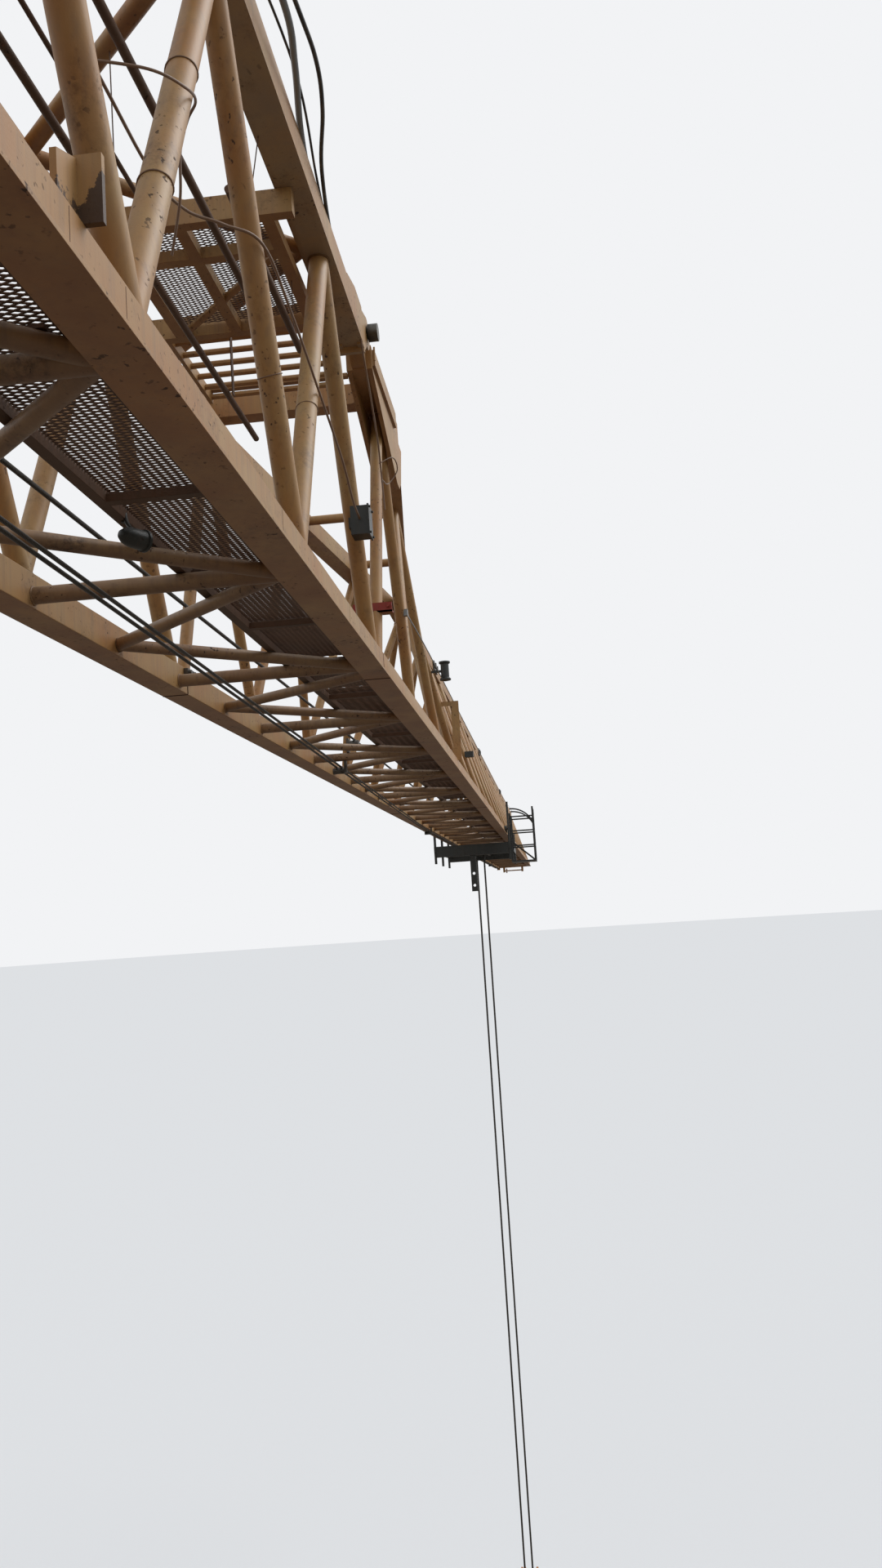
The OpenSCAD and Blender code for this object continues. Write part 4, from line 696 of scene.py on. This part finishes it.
# Cables of the jib's root as the photograph shows them: points, radius and sides of each
apexSide = boxCorners("apex_chord")[0][1] - 0.003
cable = {
    "greyConduit": ([(0.40, -0.358, 11.47), (1.6, -0.358, 11.475), (3.1, -0.358, 11.48), (3.8, -0.372, 11.49),
                     (4.18, -0.398, 11.50), (4.36, -0.382, 11.50), (4.56, -0.350, 11.50), (4.75, -0.332, 11.497),
                     (5.04, -0.322, 11.496), (5.36, -0.318, 11.496)], 0.0075, 16),
    "blackCable": ([(0.40, -0.37, 11.485), (2.4, -0.37, 11.49), (3.7, -0.39, 11.50), (4.184, -0.42, 11.505),
                    (4.362, -0.428, 11.505), (4.51, -0.412, 11.50), (4.72, -0.368, 11.498), (5.04, -0.335, 11.494),
                    (5.36, -0.330, 11.494)], 0.0050, 14),
    "thinCable": ([(3.9, -0.352, 11.502), (4.375, -0.378, 11.505), (4.743, -0.350, 11.50), (5.04, -0.328, 11.493)], 0.003),
    "boxCable": ([(0.40, -0.19, 11.02), (2.6, -0.19, 10.985), (3.54, -0.20, 11.0), (3.91, -0.20, 10.995),
                  (4.03, -0.225, 10.99), (4.09, -0.28, 10.99), (4.17, -0.335, 10.99), (4.40, -0.338, 10.97),
                  (4.70, -0.336, 10.925), (4.95, -0.340, 10.86), (5.10, -0.340, 10.80), (5.212, -0.338, 10.79)], 0.0030),
    "wireTail": ([(3.56, -0.21, 10.93), (3.62, -0.30, 10.945), (3.68, -0.337, 10.955), (3.745, -0.334, 10.98),
                  (3.787, -0.308, 10.982), (3.80, -0.29, 10.94), (3.82, -0.28, 10.87), (3.86, -0.25, 10.80)], 0.0024, 10),
    "looseLoop": ([(5.66, -0.345, 11.12), (5.70, -0.385, 11.15), (5.76, -0.39, 11.13), (5.74, -0.36, 11.08),
                   (5.67, -0.348, 11.07)], 0.002, 10),
    "downCable": ([(5.36, -0.330, 11.494), (5.385, -0.341, 11.485), (5.41, -0.343, 11.42), (5.60, -0.350, 11.20),
                   (5.67, -0.348, 11.10), (5.700, -0.349, 10.98)], 0.0028, 10),
    # a steel line from the first lacing tubes past the guide roller to the apex chord
    "sideLine": ([(6.296, -0.3300, 10.790), (6.70, -0.322, 10.818), (7.20, -0.309, 10.855), (8.2135, -0.2795, 10.925),
                  (13.60, -0.204, 11.090), (19.0, -0.126, 11.262), (24.50, apexSide, 11.430)], 0.0026, 8),
}
lineEnds = {"low": [[24.46, apexSide, 11.418], [6.284, -0.336, 10.778]],
            "high": [[24.54, apexSide + 0.006, 11.442], [6.308, -0.322, 10.802]]}

# Four pipes, flat hangers that carry them from the zigzag overhead, and wires to the thin one and to the near one
pipe = {"low": [[0.40, 0.012, 11.20], [0.40, -0.170, 11.20], [4.30, -0.240, 11.20], [0.40, -0.040, 11.21]],
        "high": [[5.56, 0.026, 11.20], [4.86, -0.172, 11.20], [5.02, -0.233, 11.20], [4.30, -0.052, 11.20]],
        "radius": [0.009, 0.009, 0.009, 0.005]}
hanger = {"x": np.array([1.22, 3.22, 5.22, 0.875, 2.875, 3.055, 4.875]), "y": np.repeat([0.004, -0.184], [3, 4]),
          "z": (11.19, 11.445), "half": 0.010, "thick": 0.003}
wire = {"x": [1.172, 2.172, 3.172, 4.172, 4.45, 4.94], "topY": [-0.045] * 4 + [-0.278, -0.236],
        "topZ": [11.440] * 4 + [11.430, 11.440], "footY": [-0.046] * 4 + [-0.239, -0.234], "footZ": 11.206,
        "radius": 0.0014}
pipes = straightTubes(pipe["low"], pipe["high"], pipe["radius"], 18)
hangers = plainBoxes(pointsAt(hanger["x"] - hanger["half"], hanger["y"], hanger["z"][0]),
                     pointsAt(hanger["x"] + hanger["half"], hanger["y"] + hanger["thick"], hanger["z"][1]))
wires = straightTubes(pointsAt(wire["x"], wire["topY"], wire["topZ"]), pointsAt(wire["x"], wire["footY"], wire["footZ"]),
                      wire["radius"], 8)
addPiece("root_pipes", *joinShapes(pipes, hangers, wires), rustyWalkwaySteel, "slewing", "walkway_steel")
addPiece("root_conduit", *cableRun(*cable["greyConduit"]), greyPvc, "slewing", "grey_paint")
blackRuns = [cableRun(*cable[name]) for name in ("blackCable", "thinCable")]
addPiece("root_black_cables", *joinShapes(*blackRuns), blackPvc, "slewing", "wire_rope")
tanRuns = [cableRun(*cable[name]) for name in ("boxCable", "wireTail", "looseLoop", "downCable")]
addPiece("root_tan_cables", *joinShapes(*tanRuns), tanPvc, "slewing", "wire_rope")
addPiece("jib_side_line", *joinShapes(cableRun(*cable["sideLine"]), plainBoxes(lineEnds["low"], lineEnds["high"])),
         galvanisedSteel, "slewing", "wire_rope")
# wire ties round the lacing tubes, a little askew
tie = {"feet": [[3.612, -0.306, 10.755], [3.77, -0.306, 11.05], [4.30, -0.306, 10.788], [4.68, -0.306, 10.88]],
       "axes": [[0.5, 0, 0.934], [0.5, 0, 0.934], [-0.5, 0, 0.934], [0.5, 0, 0.934]],
       "askew": [0, 0.15, 0.1], "around": 0.0258, "radius": 0.0013}
tieAxes = unitLength(np.array(tie["axes"]))
addPiece("wire_ties", *weldRings(tie["feet"], tieAxes, tieAxes + tie["askew"], tie["around"], tie["radius"]), tanPvc,
         "slewing", "wire_rope")

clip = {"first": 0.25, "step": 0.5, "half": np.array([0.006, 0.0115, 0.0105]), "before": 3.9}


def clipsAlong(points):
    # a saddle clip over the cable at every step of its length, a little wider than the cable
    path = curveThrough(points)
    length = np.concatenate([[0], np.cumsum(np.linalg.norm(np.diff(path, axis=0), axis=1))])
    stops = np.arange(clip["first"], length[-1], clip["step"])
    places = np.stack([np.interp(stops, length, path[:, k]) for k in range(3)], 1)
    return plainBoxes(places - clip["half"], places + clip["half"])


clips = clipsAlong([point for point in cable["greyConduit"][0] if point[0] < clip["before"]])
addPiece("conduit_clips", *clips, galvanisedSteel, "slewing", "bare_steel")

# Junction box, brackets, cable plate
fitting = {
    "boxLow": [[5.210, -0.360, 10.746], [5.207, -0.365, 10.743], [5.225, -0.316, 10.77]],
    "boxHigh": [[5.268, -0.312, 10.828], [5.271, -0.360, 10.831], [5.30, -0.304, 10.80]],
    "boxBolts": [[x, -0.365, z] for x in (5.214, 5.264) for z in (10.750, 10.824)], "boxBolt": 0.006,
    "stub": ([3.255, -0.360, 10.4795], [3.264, -0.323, 10.562]),
    "gusset": [(3.200, -0.331, 10.4795), (3.264, -0.331, 10.4795), (3.264, -0.331, 10.562), (3.200, -0.331, 10.535)],
    # rust has eaten the stub from its foot up to a slanting, uneven edge
    "stubLook": dict(enamelLook, rustTilt=1.576, rustEdge=9.9746),
    # a folded plate at the first joint keeps the cables off the pin, and a bolt under the pin's head holds it
    "jointPlate": [(5.20, -0.345, 11.474), (5.46, -0.345, 11.474), (5.46, -0.345, 11.540), (5.34, -0.345, 11.540),
                   (5.20, -0.345, 11.506)],
    "retainer": ((5.54, -0.366, 11.448), (5.54, -0.366, 11.404), 0.003, 12),
    "plate": 0.008,
    # the red angle is clamped across the first lacing tube after the joint: its flat and its upright
    "redLow": [[5.640, -0.360, 10.632], [5.640, -0.360, 10.632]],
    "redHigh": [[5.672, -0.236, 10.637], [5.646, -0.236, 10.662]],
    "redBolts": [[5.640, -0.258, 10.650], [5.640, -0.348, 10.650]], "redBolt": 0.010,
}
boxShapes = [plainBoxes(fitting["boxLow"], fitting["boxHigh"]),
             boltHeads(fitting["boxBolts"], (0, -1, 0), fitting["boxBolt"])]
addPiece("junction_box", *joinShapes(*boxShapes), greasyDarkEnamel, "slewing", "greasy_steel")
addPiece("chord_bracket", *joinShapes(plainBoxes(*fitting["stub"]), plateBetween(fitting["gusset"], fitting["plate"])),
         weatheredEnamel("rustedFootEnamel", fitting["stubLook"]), "slewing", "yellow_paint")
plateShapes = [plateBetween(fitting["jointPlate"], fitting["plate"]), straightTubes(*fitting["retainer"])]
addPiece("joint_cable_plate", *joinShapes(*plateShapes), ochreEnamel, "slewing", "yellow_paint")
redShapes = [plainBoxes(fitting["redLow"], fitting["redHigh"]),
             boltHeads(fitting["redBolts"], (-1, 0, 0), fitting["redBolt"])]
addPiece("red_angle_bracket", *joinShapes(*redShapes), redOxidePaint, "slewing", "yellow_paint")

# Work lamp under the walkway, on a bent arm with a foot
lamp = {
    "middle": (4.082, -0.086, 10.404), "axis": (0.88, -0.47, 0.0),
    "profile": [(-0.030, 0.003), (-0.027, 0.009), (-0.018, 0.015), (-0.005, 0.018), (0.012, 0.0185), (0.024, 0.0185),
                (0.025, 0.021), (0.030, 0.021), (0.030, 0.017), (0.027, 0.016)],
    "arm": ([(4.082, -0.086, 10.418), (4.10, -0.07, 10.44), (4.115, -0.06, 10.47)], 0.004),
    "foot": ((4.115, -0.06, 10.445), (4.115, -0.06, 10.475), 0.006, 16),
}
lampShapes = [latheAlong(lamp["middle"], lamp["axis"], lamp["profile"]), cableRun(*lamp["arm"]),
              straightTubes(*lamp["foot"])]
addPiece("work_lamp", *joinShapes(*lampShapes), greasyDarkEnamel, "slewing", "greasy_steel")

# Lifting eye in the walkway: a flat ring with a tongue
walkwayEye = {"middle": (3.432, -0.210, 10.4455), "tongue": ([3.40, -0.225, 10.4455], [3.417, -0.195, 10.4505]),
              "profile": [(0, 0.0075), (0, 0.019), (0.005, 0.019), (0.005, 0.0075), (0, 0.0075)]}
flatRing = latheAlong(walkwayEye["middle"], (0, 0, 1), walkwayEye["profile"], capped=False)
addPiece("walkway_eye", *joinShapes(flatRing, plainBoxes(*walkwayEye["tongue"])), rustyWalkwaySteel, "slewing",
         "walkway_steel")

# Post bracket with its arm, guide roller with its holder, and a small box farther along the jib, on the near side
farther = {
    "postLow": [[8.300, -0.358, 10.478], [8.300, -0.316, 10.776]],
    "postHigh": [[8.306, -0.316, 10.800], [8.306, -0.238, 10.800]],
    "rollerMiddle": (8.2135, -0.304, 10.950),
    "roller": [(-0.055, 0.008), (-0.050, 0.030), (-0.042, 0.030), (-0.036, 0.022), (0.036, 0.022), (0.042, 0.030),
               (0.050, 0.030), (0.055, 0.008)],
    "heldLow": [[8.208, -0.304, 10.944], [10.300, -0.297, 10.745]],
    "heldHigh": [[8.219, -0.205, 10.956], [10.350, -0.236, 10.785]],
}
addPiece("jib_post_bracket", *plainBoxes(farther["postLow"], farther["postHigh"]), ochreEnamel, "slewing", "yellow_paint")
rollerShapes = [latheAlong(farther["rollerMiddle"], (0, 0, 1), farther["roller"]),
                plainBoxes(farther["heldLow"], farther["heldHigh"])]
addPiece("jib_guide_roller", *joinShapes(*rollerShapes), greasyDarkEnamel, "slewing", "greasy_steel")
print("stage: fittings made")

# Cab fittings: places are measured from the cab's lowest corner at its rear and outer side
cab = {
    "eaves": 0.020, "visor": 0.040, "bar": 0.012, "proud": 0.004,
    "sideWindows": [((0.308, 0.388), (0.712, 0.992)), ((0.048, 0.468), (0.282, 0.972))],
    "frontWindow": ((0.038, 0.378), (0.582, 0.992)), "door": ((0.030, 0.050), (0.300, 1.010)), "doorBar": 0.018,
    "doorProud": 0.006, "hingeShift": 0.004, "hingeZ": (0.20, 0.80), "hingeLength": 0.06, "hingeRadius": 0.007,
    "handle": (0.016, 0.004), "handleOut": 0.020, "handleZ": (0.40, 0.47),
    "railX": 0.735, "rail": (0.36, 0.96), "railOut": 0.016, "railIn": 0.004, "railBend": 0.03, "railRadius": 0.006,
    "seatWidth": 0.24,
    "seat": [(0.20, 0.300), (0.45, 0.275), (0.47, 0.300), (0.26, 0.335), (0.185, 0.740), (0.150, 0.735)],
    "pedestalAt": (0.32, 0.020), "pedestal": [(0.0, 0.095), (0.012, 0.095), (0.020, 0.038), (0.285, 0.032)],
    # each console's top box and leg: low x, low z, high x, high z and half width
    "consoleY": 0.175, "console": [(0.24, 0.30, 0.46, 0.39, 0.035), (0.30, 0.022, 0.38, 0.30, 0.025)],
    "leverAt": (0.42, 0.39), "leverLean": (0.1, 0, 1),
    "lever": [(0, 0.012), (0.008, 0.004), (0.06, 0.004), (0.064, 0.011), (0.078, 0.013), (0.088, 0.006)],
}
shellLow, shellHigh = boxCorners("cab_shell")
cabX = np.array([shellLow[0] + cab["eaves"], shellHigh[0] - cab["visor"]])
cabY = np.array([shellLow[1] + cab["eaves"], shellHigh[1] - cab["eaves"]])
cabZ, cabMiddle = shellLow[2], cabY.mean()


def windowFrame(low, high, width):
    # four bars round an opening, in the plane across the box's thinnest side
    low, high = np.array(low, float), np.array(high, float)
    first, second = [k for k in range(3) if k != int(np.argmin(high - low))]
    lows, highs = np.tile(low, (4, 1)), np.tile(high, (4, 1))
    highs[0, second] = lows[2:, second] = low[second] + width
    lows[1, second] = highs[2:, second] = high[second] - width
    highs[2, first] = low[first] + width
    lows[3, first] = high[first] - width
    return plainBoxes(lows, highs)


gaskets = []
for face in (cabY[0] - cab["proud"], cabY[1]):
    for (lowX, lowZ), (highX, highZ) in cab["sideWindows"]:
        gaskets.append(windowFrame([cabX[0] + lowX, face, cabZ + lowZ],
                                   [cabX[0] + highX, face + cab["proud"], cabZ + highZ], cab["bar"]))
(lowY, lowZ), (highY, highZ) = cab["frontWindow"]
gaskets.append(windowFrame([cabX[1], cabY[0] + lowY, cabZ + lowZ],
                           [cabX[1] + cab["proud"], cabY[0] + highY, cabZ + highZ], cab["bar"]))
addPiece("cab_gaskets", *joinShapes(*gaskets), blackPvc, "slewing", "greasy_steel")

(lowX, lowZ), (highX, highZ) = cab["door"]
doorY, handleX = cabY[0] - cab["doorProud"], cabX[0] + highX
doorEdge = windowFrame([cabX[0] + lowX, doorY, cabZ + lowZ], [cabX[0] + highX, cabY[0], cabZ + highZ], cab["doorBar"])
hingeAt = pointsAt(cabX[0] + lowX - cab["hingeShift"], doorY, cabZ + np.array(cab["hingeZ"]))
hinges = straightTubes(hingeAt, hingeAt + [0, 0, cab["hingeLength"]], cab["hingeRadius"], 14)
handle = plainBoxes([handleX - cab["handle"][0], cabY[0] - cab["handleOut"], cabZ + cab["handleZ"][0]],
                    [handleX - cab["handle"][1], doorY, cabZ + cab["handleZ"][1]])
railX, railFoot, railTop = cabX[0] + cab["railX"], cabZ + cab["rail"][0], cabZ + cab["rail"][1]
railY = cabY[0] + cab["railIn"], cabY[0] - cab["railOut"]
railZ = railFoot, railFoot + cab["railBend"], railTop - cab["railBend"], railTop
rail = cableRun([(railX, railY[k], z) for k, z in zip((0, 1, 1, 0), railZ)], cab["railRadius"], 14, lift=(1, 0, 0))
addPiece("cab_door_edge", *joinShapes(doorEdge, hinges, handle, rail), ochreEnamel, "slewing", "yellow_paint")

seatLine = [(cabX[0] + x, cabMiddle - cab["seatWidth"] / 2, cabZ + z) for x, z in cab["seat"]]
pedestalX, pedestalZ = cab["pedestalAt"]
seatShapes = [plateBetween(seatLine, cab["seatWidth"]),
              latheAlong((cabX[0] + pedestalX, cabMiddle, cabZ + pedestalZ), (0, 0, 1), cab["pedestal"])]
for middle in (cabMiddle - cab["consoleY"], cabMiddle + cab["consoleY"]):
    for lowX, lowZ, highX, highZ, half in cab["console"]:
        seatShapes.append(plainBoxes([cabX[0] + lowX, middle - half, cabZ + lowZ],
                                     [cabX[0] + highX, middle + half, cabZ + highZ]))
    leverFoot = (cabX[0] + cab["leverAt"][0], middle, cabZ + cab["leverAt"][1])
    seatShapes.append(latheAlong(leverFoot, cab["leverLean"], cab["lever"]))
addPiece("cab_seat_and_levers", *joinShapes(*seatShapes), blackPvc, "slewing", "greasy_steel")

# Cabinet doors: two leaves, louvres in one of them, hinges and a handle
cabinet = {
    "eaves": 0.010, "leafFoot": 0.055, "leafHead": 0.030, "leaf": 0.006, "edge": 0.008, "gap": 0.002,
    "louvres": 8, "pitch": 0.015, "louvreFoot": 0.04, "louvreX": (0.025, 0.020), "louvreY": (0.010, 0.005),
    "louvreHeight": 0.007,
    "hingeFoot": 0.06, "hingeHead": 0.09, "hingeLength": 0.035, "hingeRadius": 0.0045,
    "handleX": (0.022, 0.012), "handleY": (0.018, 0.005), "handleZ": (10.82, 10.90),
}
cabinetLow, cabinetHigh = boxCorners("electric_cabinet")
front = cabinetLow[1] + cabinet["eaves"]
inset = cabinet["eaves"] + cabinet["edge"]
leafX = np.array([cabinetLow[0] + inset, cabinetHigh[0] - inset])
leafZ = np.array([cabinetLow[2] + cabinet["leafFoot"], cabinetHigh[2] - cabinet["leafHead"]])
middle = leafX.mean()
leaves = plainBoxes(pointsAt([leafX[0], middle + cabinet["gap"]], front - cabinet["leaf"], leafZ[0]),
                    pointsAt([middle - cabinet["gap"], leafX[1]], front, leafZ[1]))
louvreZ = leafZ[0] + cabinet["louvreFoot"] + cabinet["pitch"] * np.arange(cabinet["louvres"])
louvreX = middle + cabinet["louvreX"][0], leafX[1] - cabinet["louvreX"][1]
louvres = plainBoxes(pointsAt(louvreX[0], front - cabinet["louvreY"][0], louvreZ),
                     pointsAt(louvreX[1], front - cabinet["louvreY"][1], louvreZ + cabinet["louvreHeight"]))
hingeAt = pointsAt(np.repeat(leafX, 2), front - cabinet["leaf"],
                   np.tile([leafZ[0] + cabinet["hingeFoot"], leafZ[1] - cabinet["hingeHead"]], 2))
hinges = straightTubes(hingeAt, hingeAt + [0, 0, cabinet["hingeLength"]], cabinet["hingeRadius"], 12)
handle = plainBoxes([middle - cabinet["handleX"][0], front - cabinet["handleY"][0], cabinet["handleZ"][0]],
                    [middle - cabinet["handleX"][1], front - cabinet["handleY"][1], cabinet["handleZ"][1]])
addPiece("cabinet_doors", *joinShapes(leaves, louvres, hinges, handle), paleCabinetEnamel, "slewing", "cabinet_paint")

# Winch motor: cooling fins, fan cover, terminal box, and the gearbox's bolts
motor = {
    "middle": (-4.10, 0.350, 10.784), "radius": 0.091, "fin": 0.101, "first": 0.150, "pitch": 0.012, "fins": 18,
    "finWidth": 0.004,
    "cover": [(0.372, 0.091), (0.374, 0.099), (0.412, 0.099), (0.419, 0.085)],
    "terminals": ([-3.88, 0.310, 10.870], [-3.78, 0.390, 10.925]),
    "boltX": (-0.11, 0.11), "boltZ": (-0.15, -0.01, 0.11), "boltY": 0.420, "bolt": 0.016,
}
finAt = (motor["first"] + motor["pitch"] * np.arange(motor["fins"]))[:, None] + np.repeat([0, motor["finWidth"]], 2)
finRadius = np.broadcast_to([motor["radius"], motor["fin"], motor["fin"], motor["radius"]], finAt.shape)
fins = np.concatenate([np.stack([finAt, finRadius], -1).reshape(-1, 2), motor["cover"]])
gearBolts = [[motor["middle"][0] + x, motor["boltY"], motor["middle"][2] + z]
             for x in motor["boltX"] for z in motor["boltZ"]]
motorParts = [latheAlong(motor["middle"], (1, 0, 0), fins, 40), plainBoxes(*motor["terminals"]),
              boltHeads(gearBolts, (0, 1, 0), motor["bolt"])]
addPiece("winch_motor_fins", *joinShapes(*motorParts), greyMachineEnamel, "slewing", "grey_paint")

# Two lifting eyes cast into each ballast slab: loops of round bar
eye = {"slabs": 6, "pitch": 0.173, "half": 0.0825, "offset": 0.13, "radius": 0.006,
       "loop": [(-0.030, -0.01), (-0.030, 0.02), (0, 0.045), (0.030, 0.02), (0.030, -0.01)]}
slabLow, slabHigh = boxCorners("counterweights")
eyes = [cableRun([(slabX, middle + y, slabHigh[2] + z) for y, z in eye["loop"]], eye["radius"], 12, lift=(1, 0, 0))
        for slabX in slabLow[0] + eye["half"] + eye["pitch"] * np.arange(eye["slabs"])
        for middle in (-eye["offset"], eye["offset"])]
addPiece("slab_lifting_eyes", *joinShapes(*eyes), galvanisedSteel, "slewing", "bare_steel")
print("stage: cab, cabinet, winch and slab fittings made")

# Ropes on the drums
drums = {
    "hoist": {"middle": (-4.10, 0, 10.784), "radius": 0.155, "low": -0.20, "high": 0.22, "pitch": 0.0106, "rope": 0.005},
    "trolley": {"middle": (2.04, 0, 10.6483), "radius": 0.095, "low": -0.12, "high": 0.11, "pitch": 0.0106, "rope": 0.005},
}
for name, drum in drums.items():
    addPiece(name + "_drum_rope", *drumCoil(drum), greasedWireRope, "slewing", "wire_rope", crease=1.2)
print("stage: drum ropes made")

# Bolts of the mast's leg sleeves and of the slewing support
bolt = {"legFace": 0.436, "offset": 0.030, "rise": 0.055, "across": 0.018, "ringRadius": 0.415, "ringCount": 36,
        "ringZ": 9.650, "supportHalf": 0.405}
sleeveZ = mast["base"] + mast["height"] * np.arange(1, mast["sections"])
# every mix of side of the mast, row of the sleeve and place in the row
sideX, sideY, rise, shift = (axis.ravel() for axis in np.meshgrid(
    [-1, 1], [-1, 1], [-bolt["rise"], bolt["rise"]], [-bolt["offset"], bolt["offset"]]))
boltShapes = []
for sx, sy, dz, move in zip(sideX, sideY, rise, shift):
    faceX = pointsAt(sx * bolt["legFace"], sy * mast["legMiddle"] + move, sleeveZ + dz)
    faceY = pointsAt(sx * mast["legMiddle"] + move, sy * bolt["legFace"], sleeveZ + dz)
    boltShapes += [boltHeads(faceX, (sx, 0, 0), bolt["across"]), boltHeads(faceY, (0, sy, 0), bolt["across"])]
ring = circleOutline(bolt["ringRadius"], bolt["ringCount"])
ring = ring[np.abs(ring).max(1) > bolt["supportHalf"]]  # the others would stand inside the support's box
boltShapes.append(boltHeads(pointsAt(*ring.T, bolt["ringZ"]), (0, 0, -1), bolt["across"]))
addPiece("mast_bolts", *joinShapes(*boltShapes), galvanisedSteel, "tower", "bare_steel")
print("stage: bolts made")


# Floor, light and camera
def paleFloor():
    # matt pale floor: the camera sees it pale, and its bounce up to the crane is that of worn ground
    floorRadius, sides = 400.0, 96
    finish, tree, shader, place = startFinish("paleFloor")
    tree.nodes.remove(shader)
    seen = addNode(tree, "LightPath").outputs["Is Camera Ray"]
    pale = addNode(tree, "BsdfDiffuse", {"Color": linearColour("#E6E6E6")}).outputs[0]
    dull = addNode(tree, "BsdfDiffuse", {"Color": linearColour("#827A70")}).outputs[0]
    both = addNode(tree, "MixShader", {0: seen, 1: dull, 2: pale}).outputs[0]
    tree.links.new(both, tree.nodes["Material Output"].inputs["Surface"])
    data = bpy.data.meshes.new("studioFloor")
    rim = np.column_stack([circleOutline(floorRadius, sides), np.zeros(sides)])
    data.from_pydata(rim.tolist(), [], [tuple(range(sides))])
    data.materials.append(finish)
    floor = bpy.data.objects.new("studioFloor", data)
    bpy.context.scene.collection.objects.link(floor)


def softLight():
    # an even sky and one broad, weak sun; camera, mirror and glass rays see the plain white background in its place
    light = {"sky": "#E9EDF2", "strength": 0.72, "background": "#F2F3F5", "sun": 1.5, "sunWidth": 0.6,
             "turn": (0.75, 0.25, 0.35)}
    world = bpy.data.worlds.new("softBox")
    bpy.context.scene.world = world
    world.use_nodes = True
    tree = world.node_tree
    seen = addNode(tree, "LightPath").outputs
    shown = addNode(tree, "Math", {0: seen["Is Camera Ray"], 1: seen["Is Glossy Ray"]}, operation="MAXIMUM").outputs[0]
    shown = addNode(tree, "Math", {0: shown, 1: seen["Is Transmission Ray"]}, operation="MAXIMUM").outputs[0]
    back = tree.nodes["Background"]
    back.inputs["Color"].default_value = linearColour(light["background"])
    glow = addNode(tree, "Background", {"Color": linearColour(light["sky"]), "Strength": light["strength"]}).outputs[0]
    both = addNode(tree, "MixShader", {0: shown, 1: glow, 2: back.outputs[0]}).outputs[0]
    tree.links.new(both, tree.nodes["World Output"].inputs["Surface"])
    source = bpy.data.lights.new("softSun", "SUN")
    source.energy = light["sun"]
    source.angle = light["sunWidth"]
    sun = bpy.data.objects.new("softSun", source)
    sun.rotation_euler = light["turn"]
    bpy.context.scene.collection.objects.link(sun)


def photoCamera():
    # in the picture's frame (x right, y down, z into it) the jib runs to its vanishing point, and the upright is square to
    # that and to a second point of the horizon; read the other way, these give the camera's own directions
    view = {"place": (2.060, -0.803, 9.700), "focalPx": 1440, "vanishing": (681, 1102), "horizonSlope": -0.065,
            "middle": (540, 960), "lens": 27.0, "sensor": 36.0, "clip": (0.02, 3000)}
    jibPoint = np.array(view["vanishing"]) - view["middle"]
    ahead = unitLength(np.append(jibPoint / view["focalPx"], 1.0))
    aside = unitLength(np.append((jibPoint + [1000, 1000 * view["horizonSlope"]]) / view["focalPx"], 1.0))
    up = unitLength(np.cross(aside, ahead))
    up *= -np.sign(up[1])
    left = np.cross(ahead, up)
    left *= -np.sign(left[0])
    right, down, forward = np.stack([ahead, left, up], 1)
    matrix = np.eye(4)
    matrix[:3] = np.stack([right, -down, -forward, view["place"]], 1)
    data = bpy.data.cameras.new("photoCamera")
    data.lens = view["lens"]
    data.sensor_width = view["sensor"]
    data.clip_start, data.clip_end = view["clip"]
    camera = bpy.data.objects.new("photoCamera", data)
    camera.matrix_world = Matrix(matrix.tolist())
    bpy.context.scene.collection.objects.link(camera)
    bpy.context.scene.camera = camera


paleFloor()
softLight()
photoCamera()
bpy.context.scene.view_settings.view_transform = "Standard"
print("stage: floor, light and camera ready")
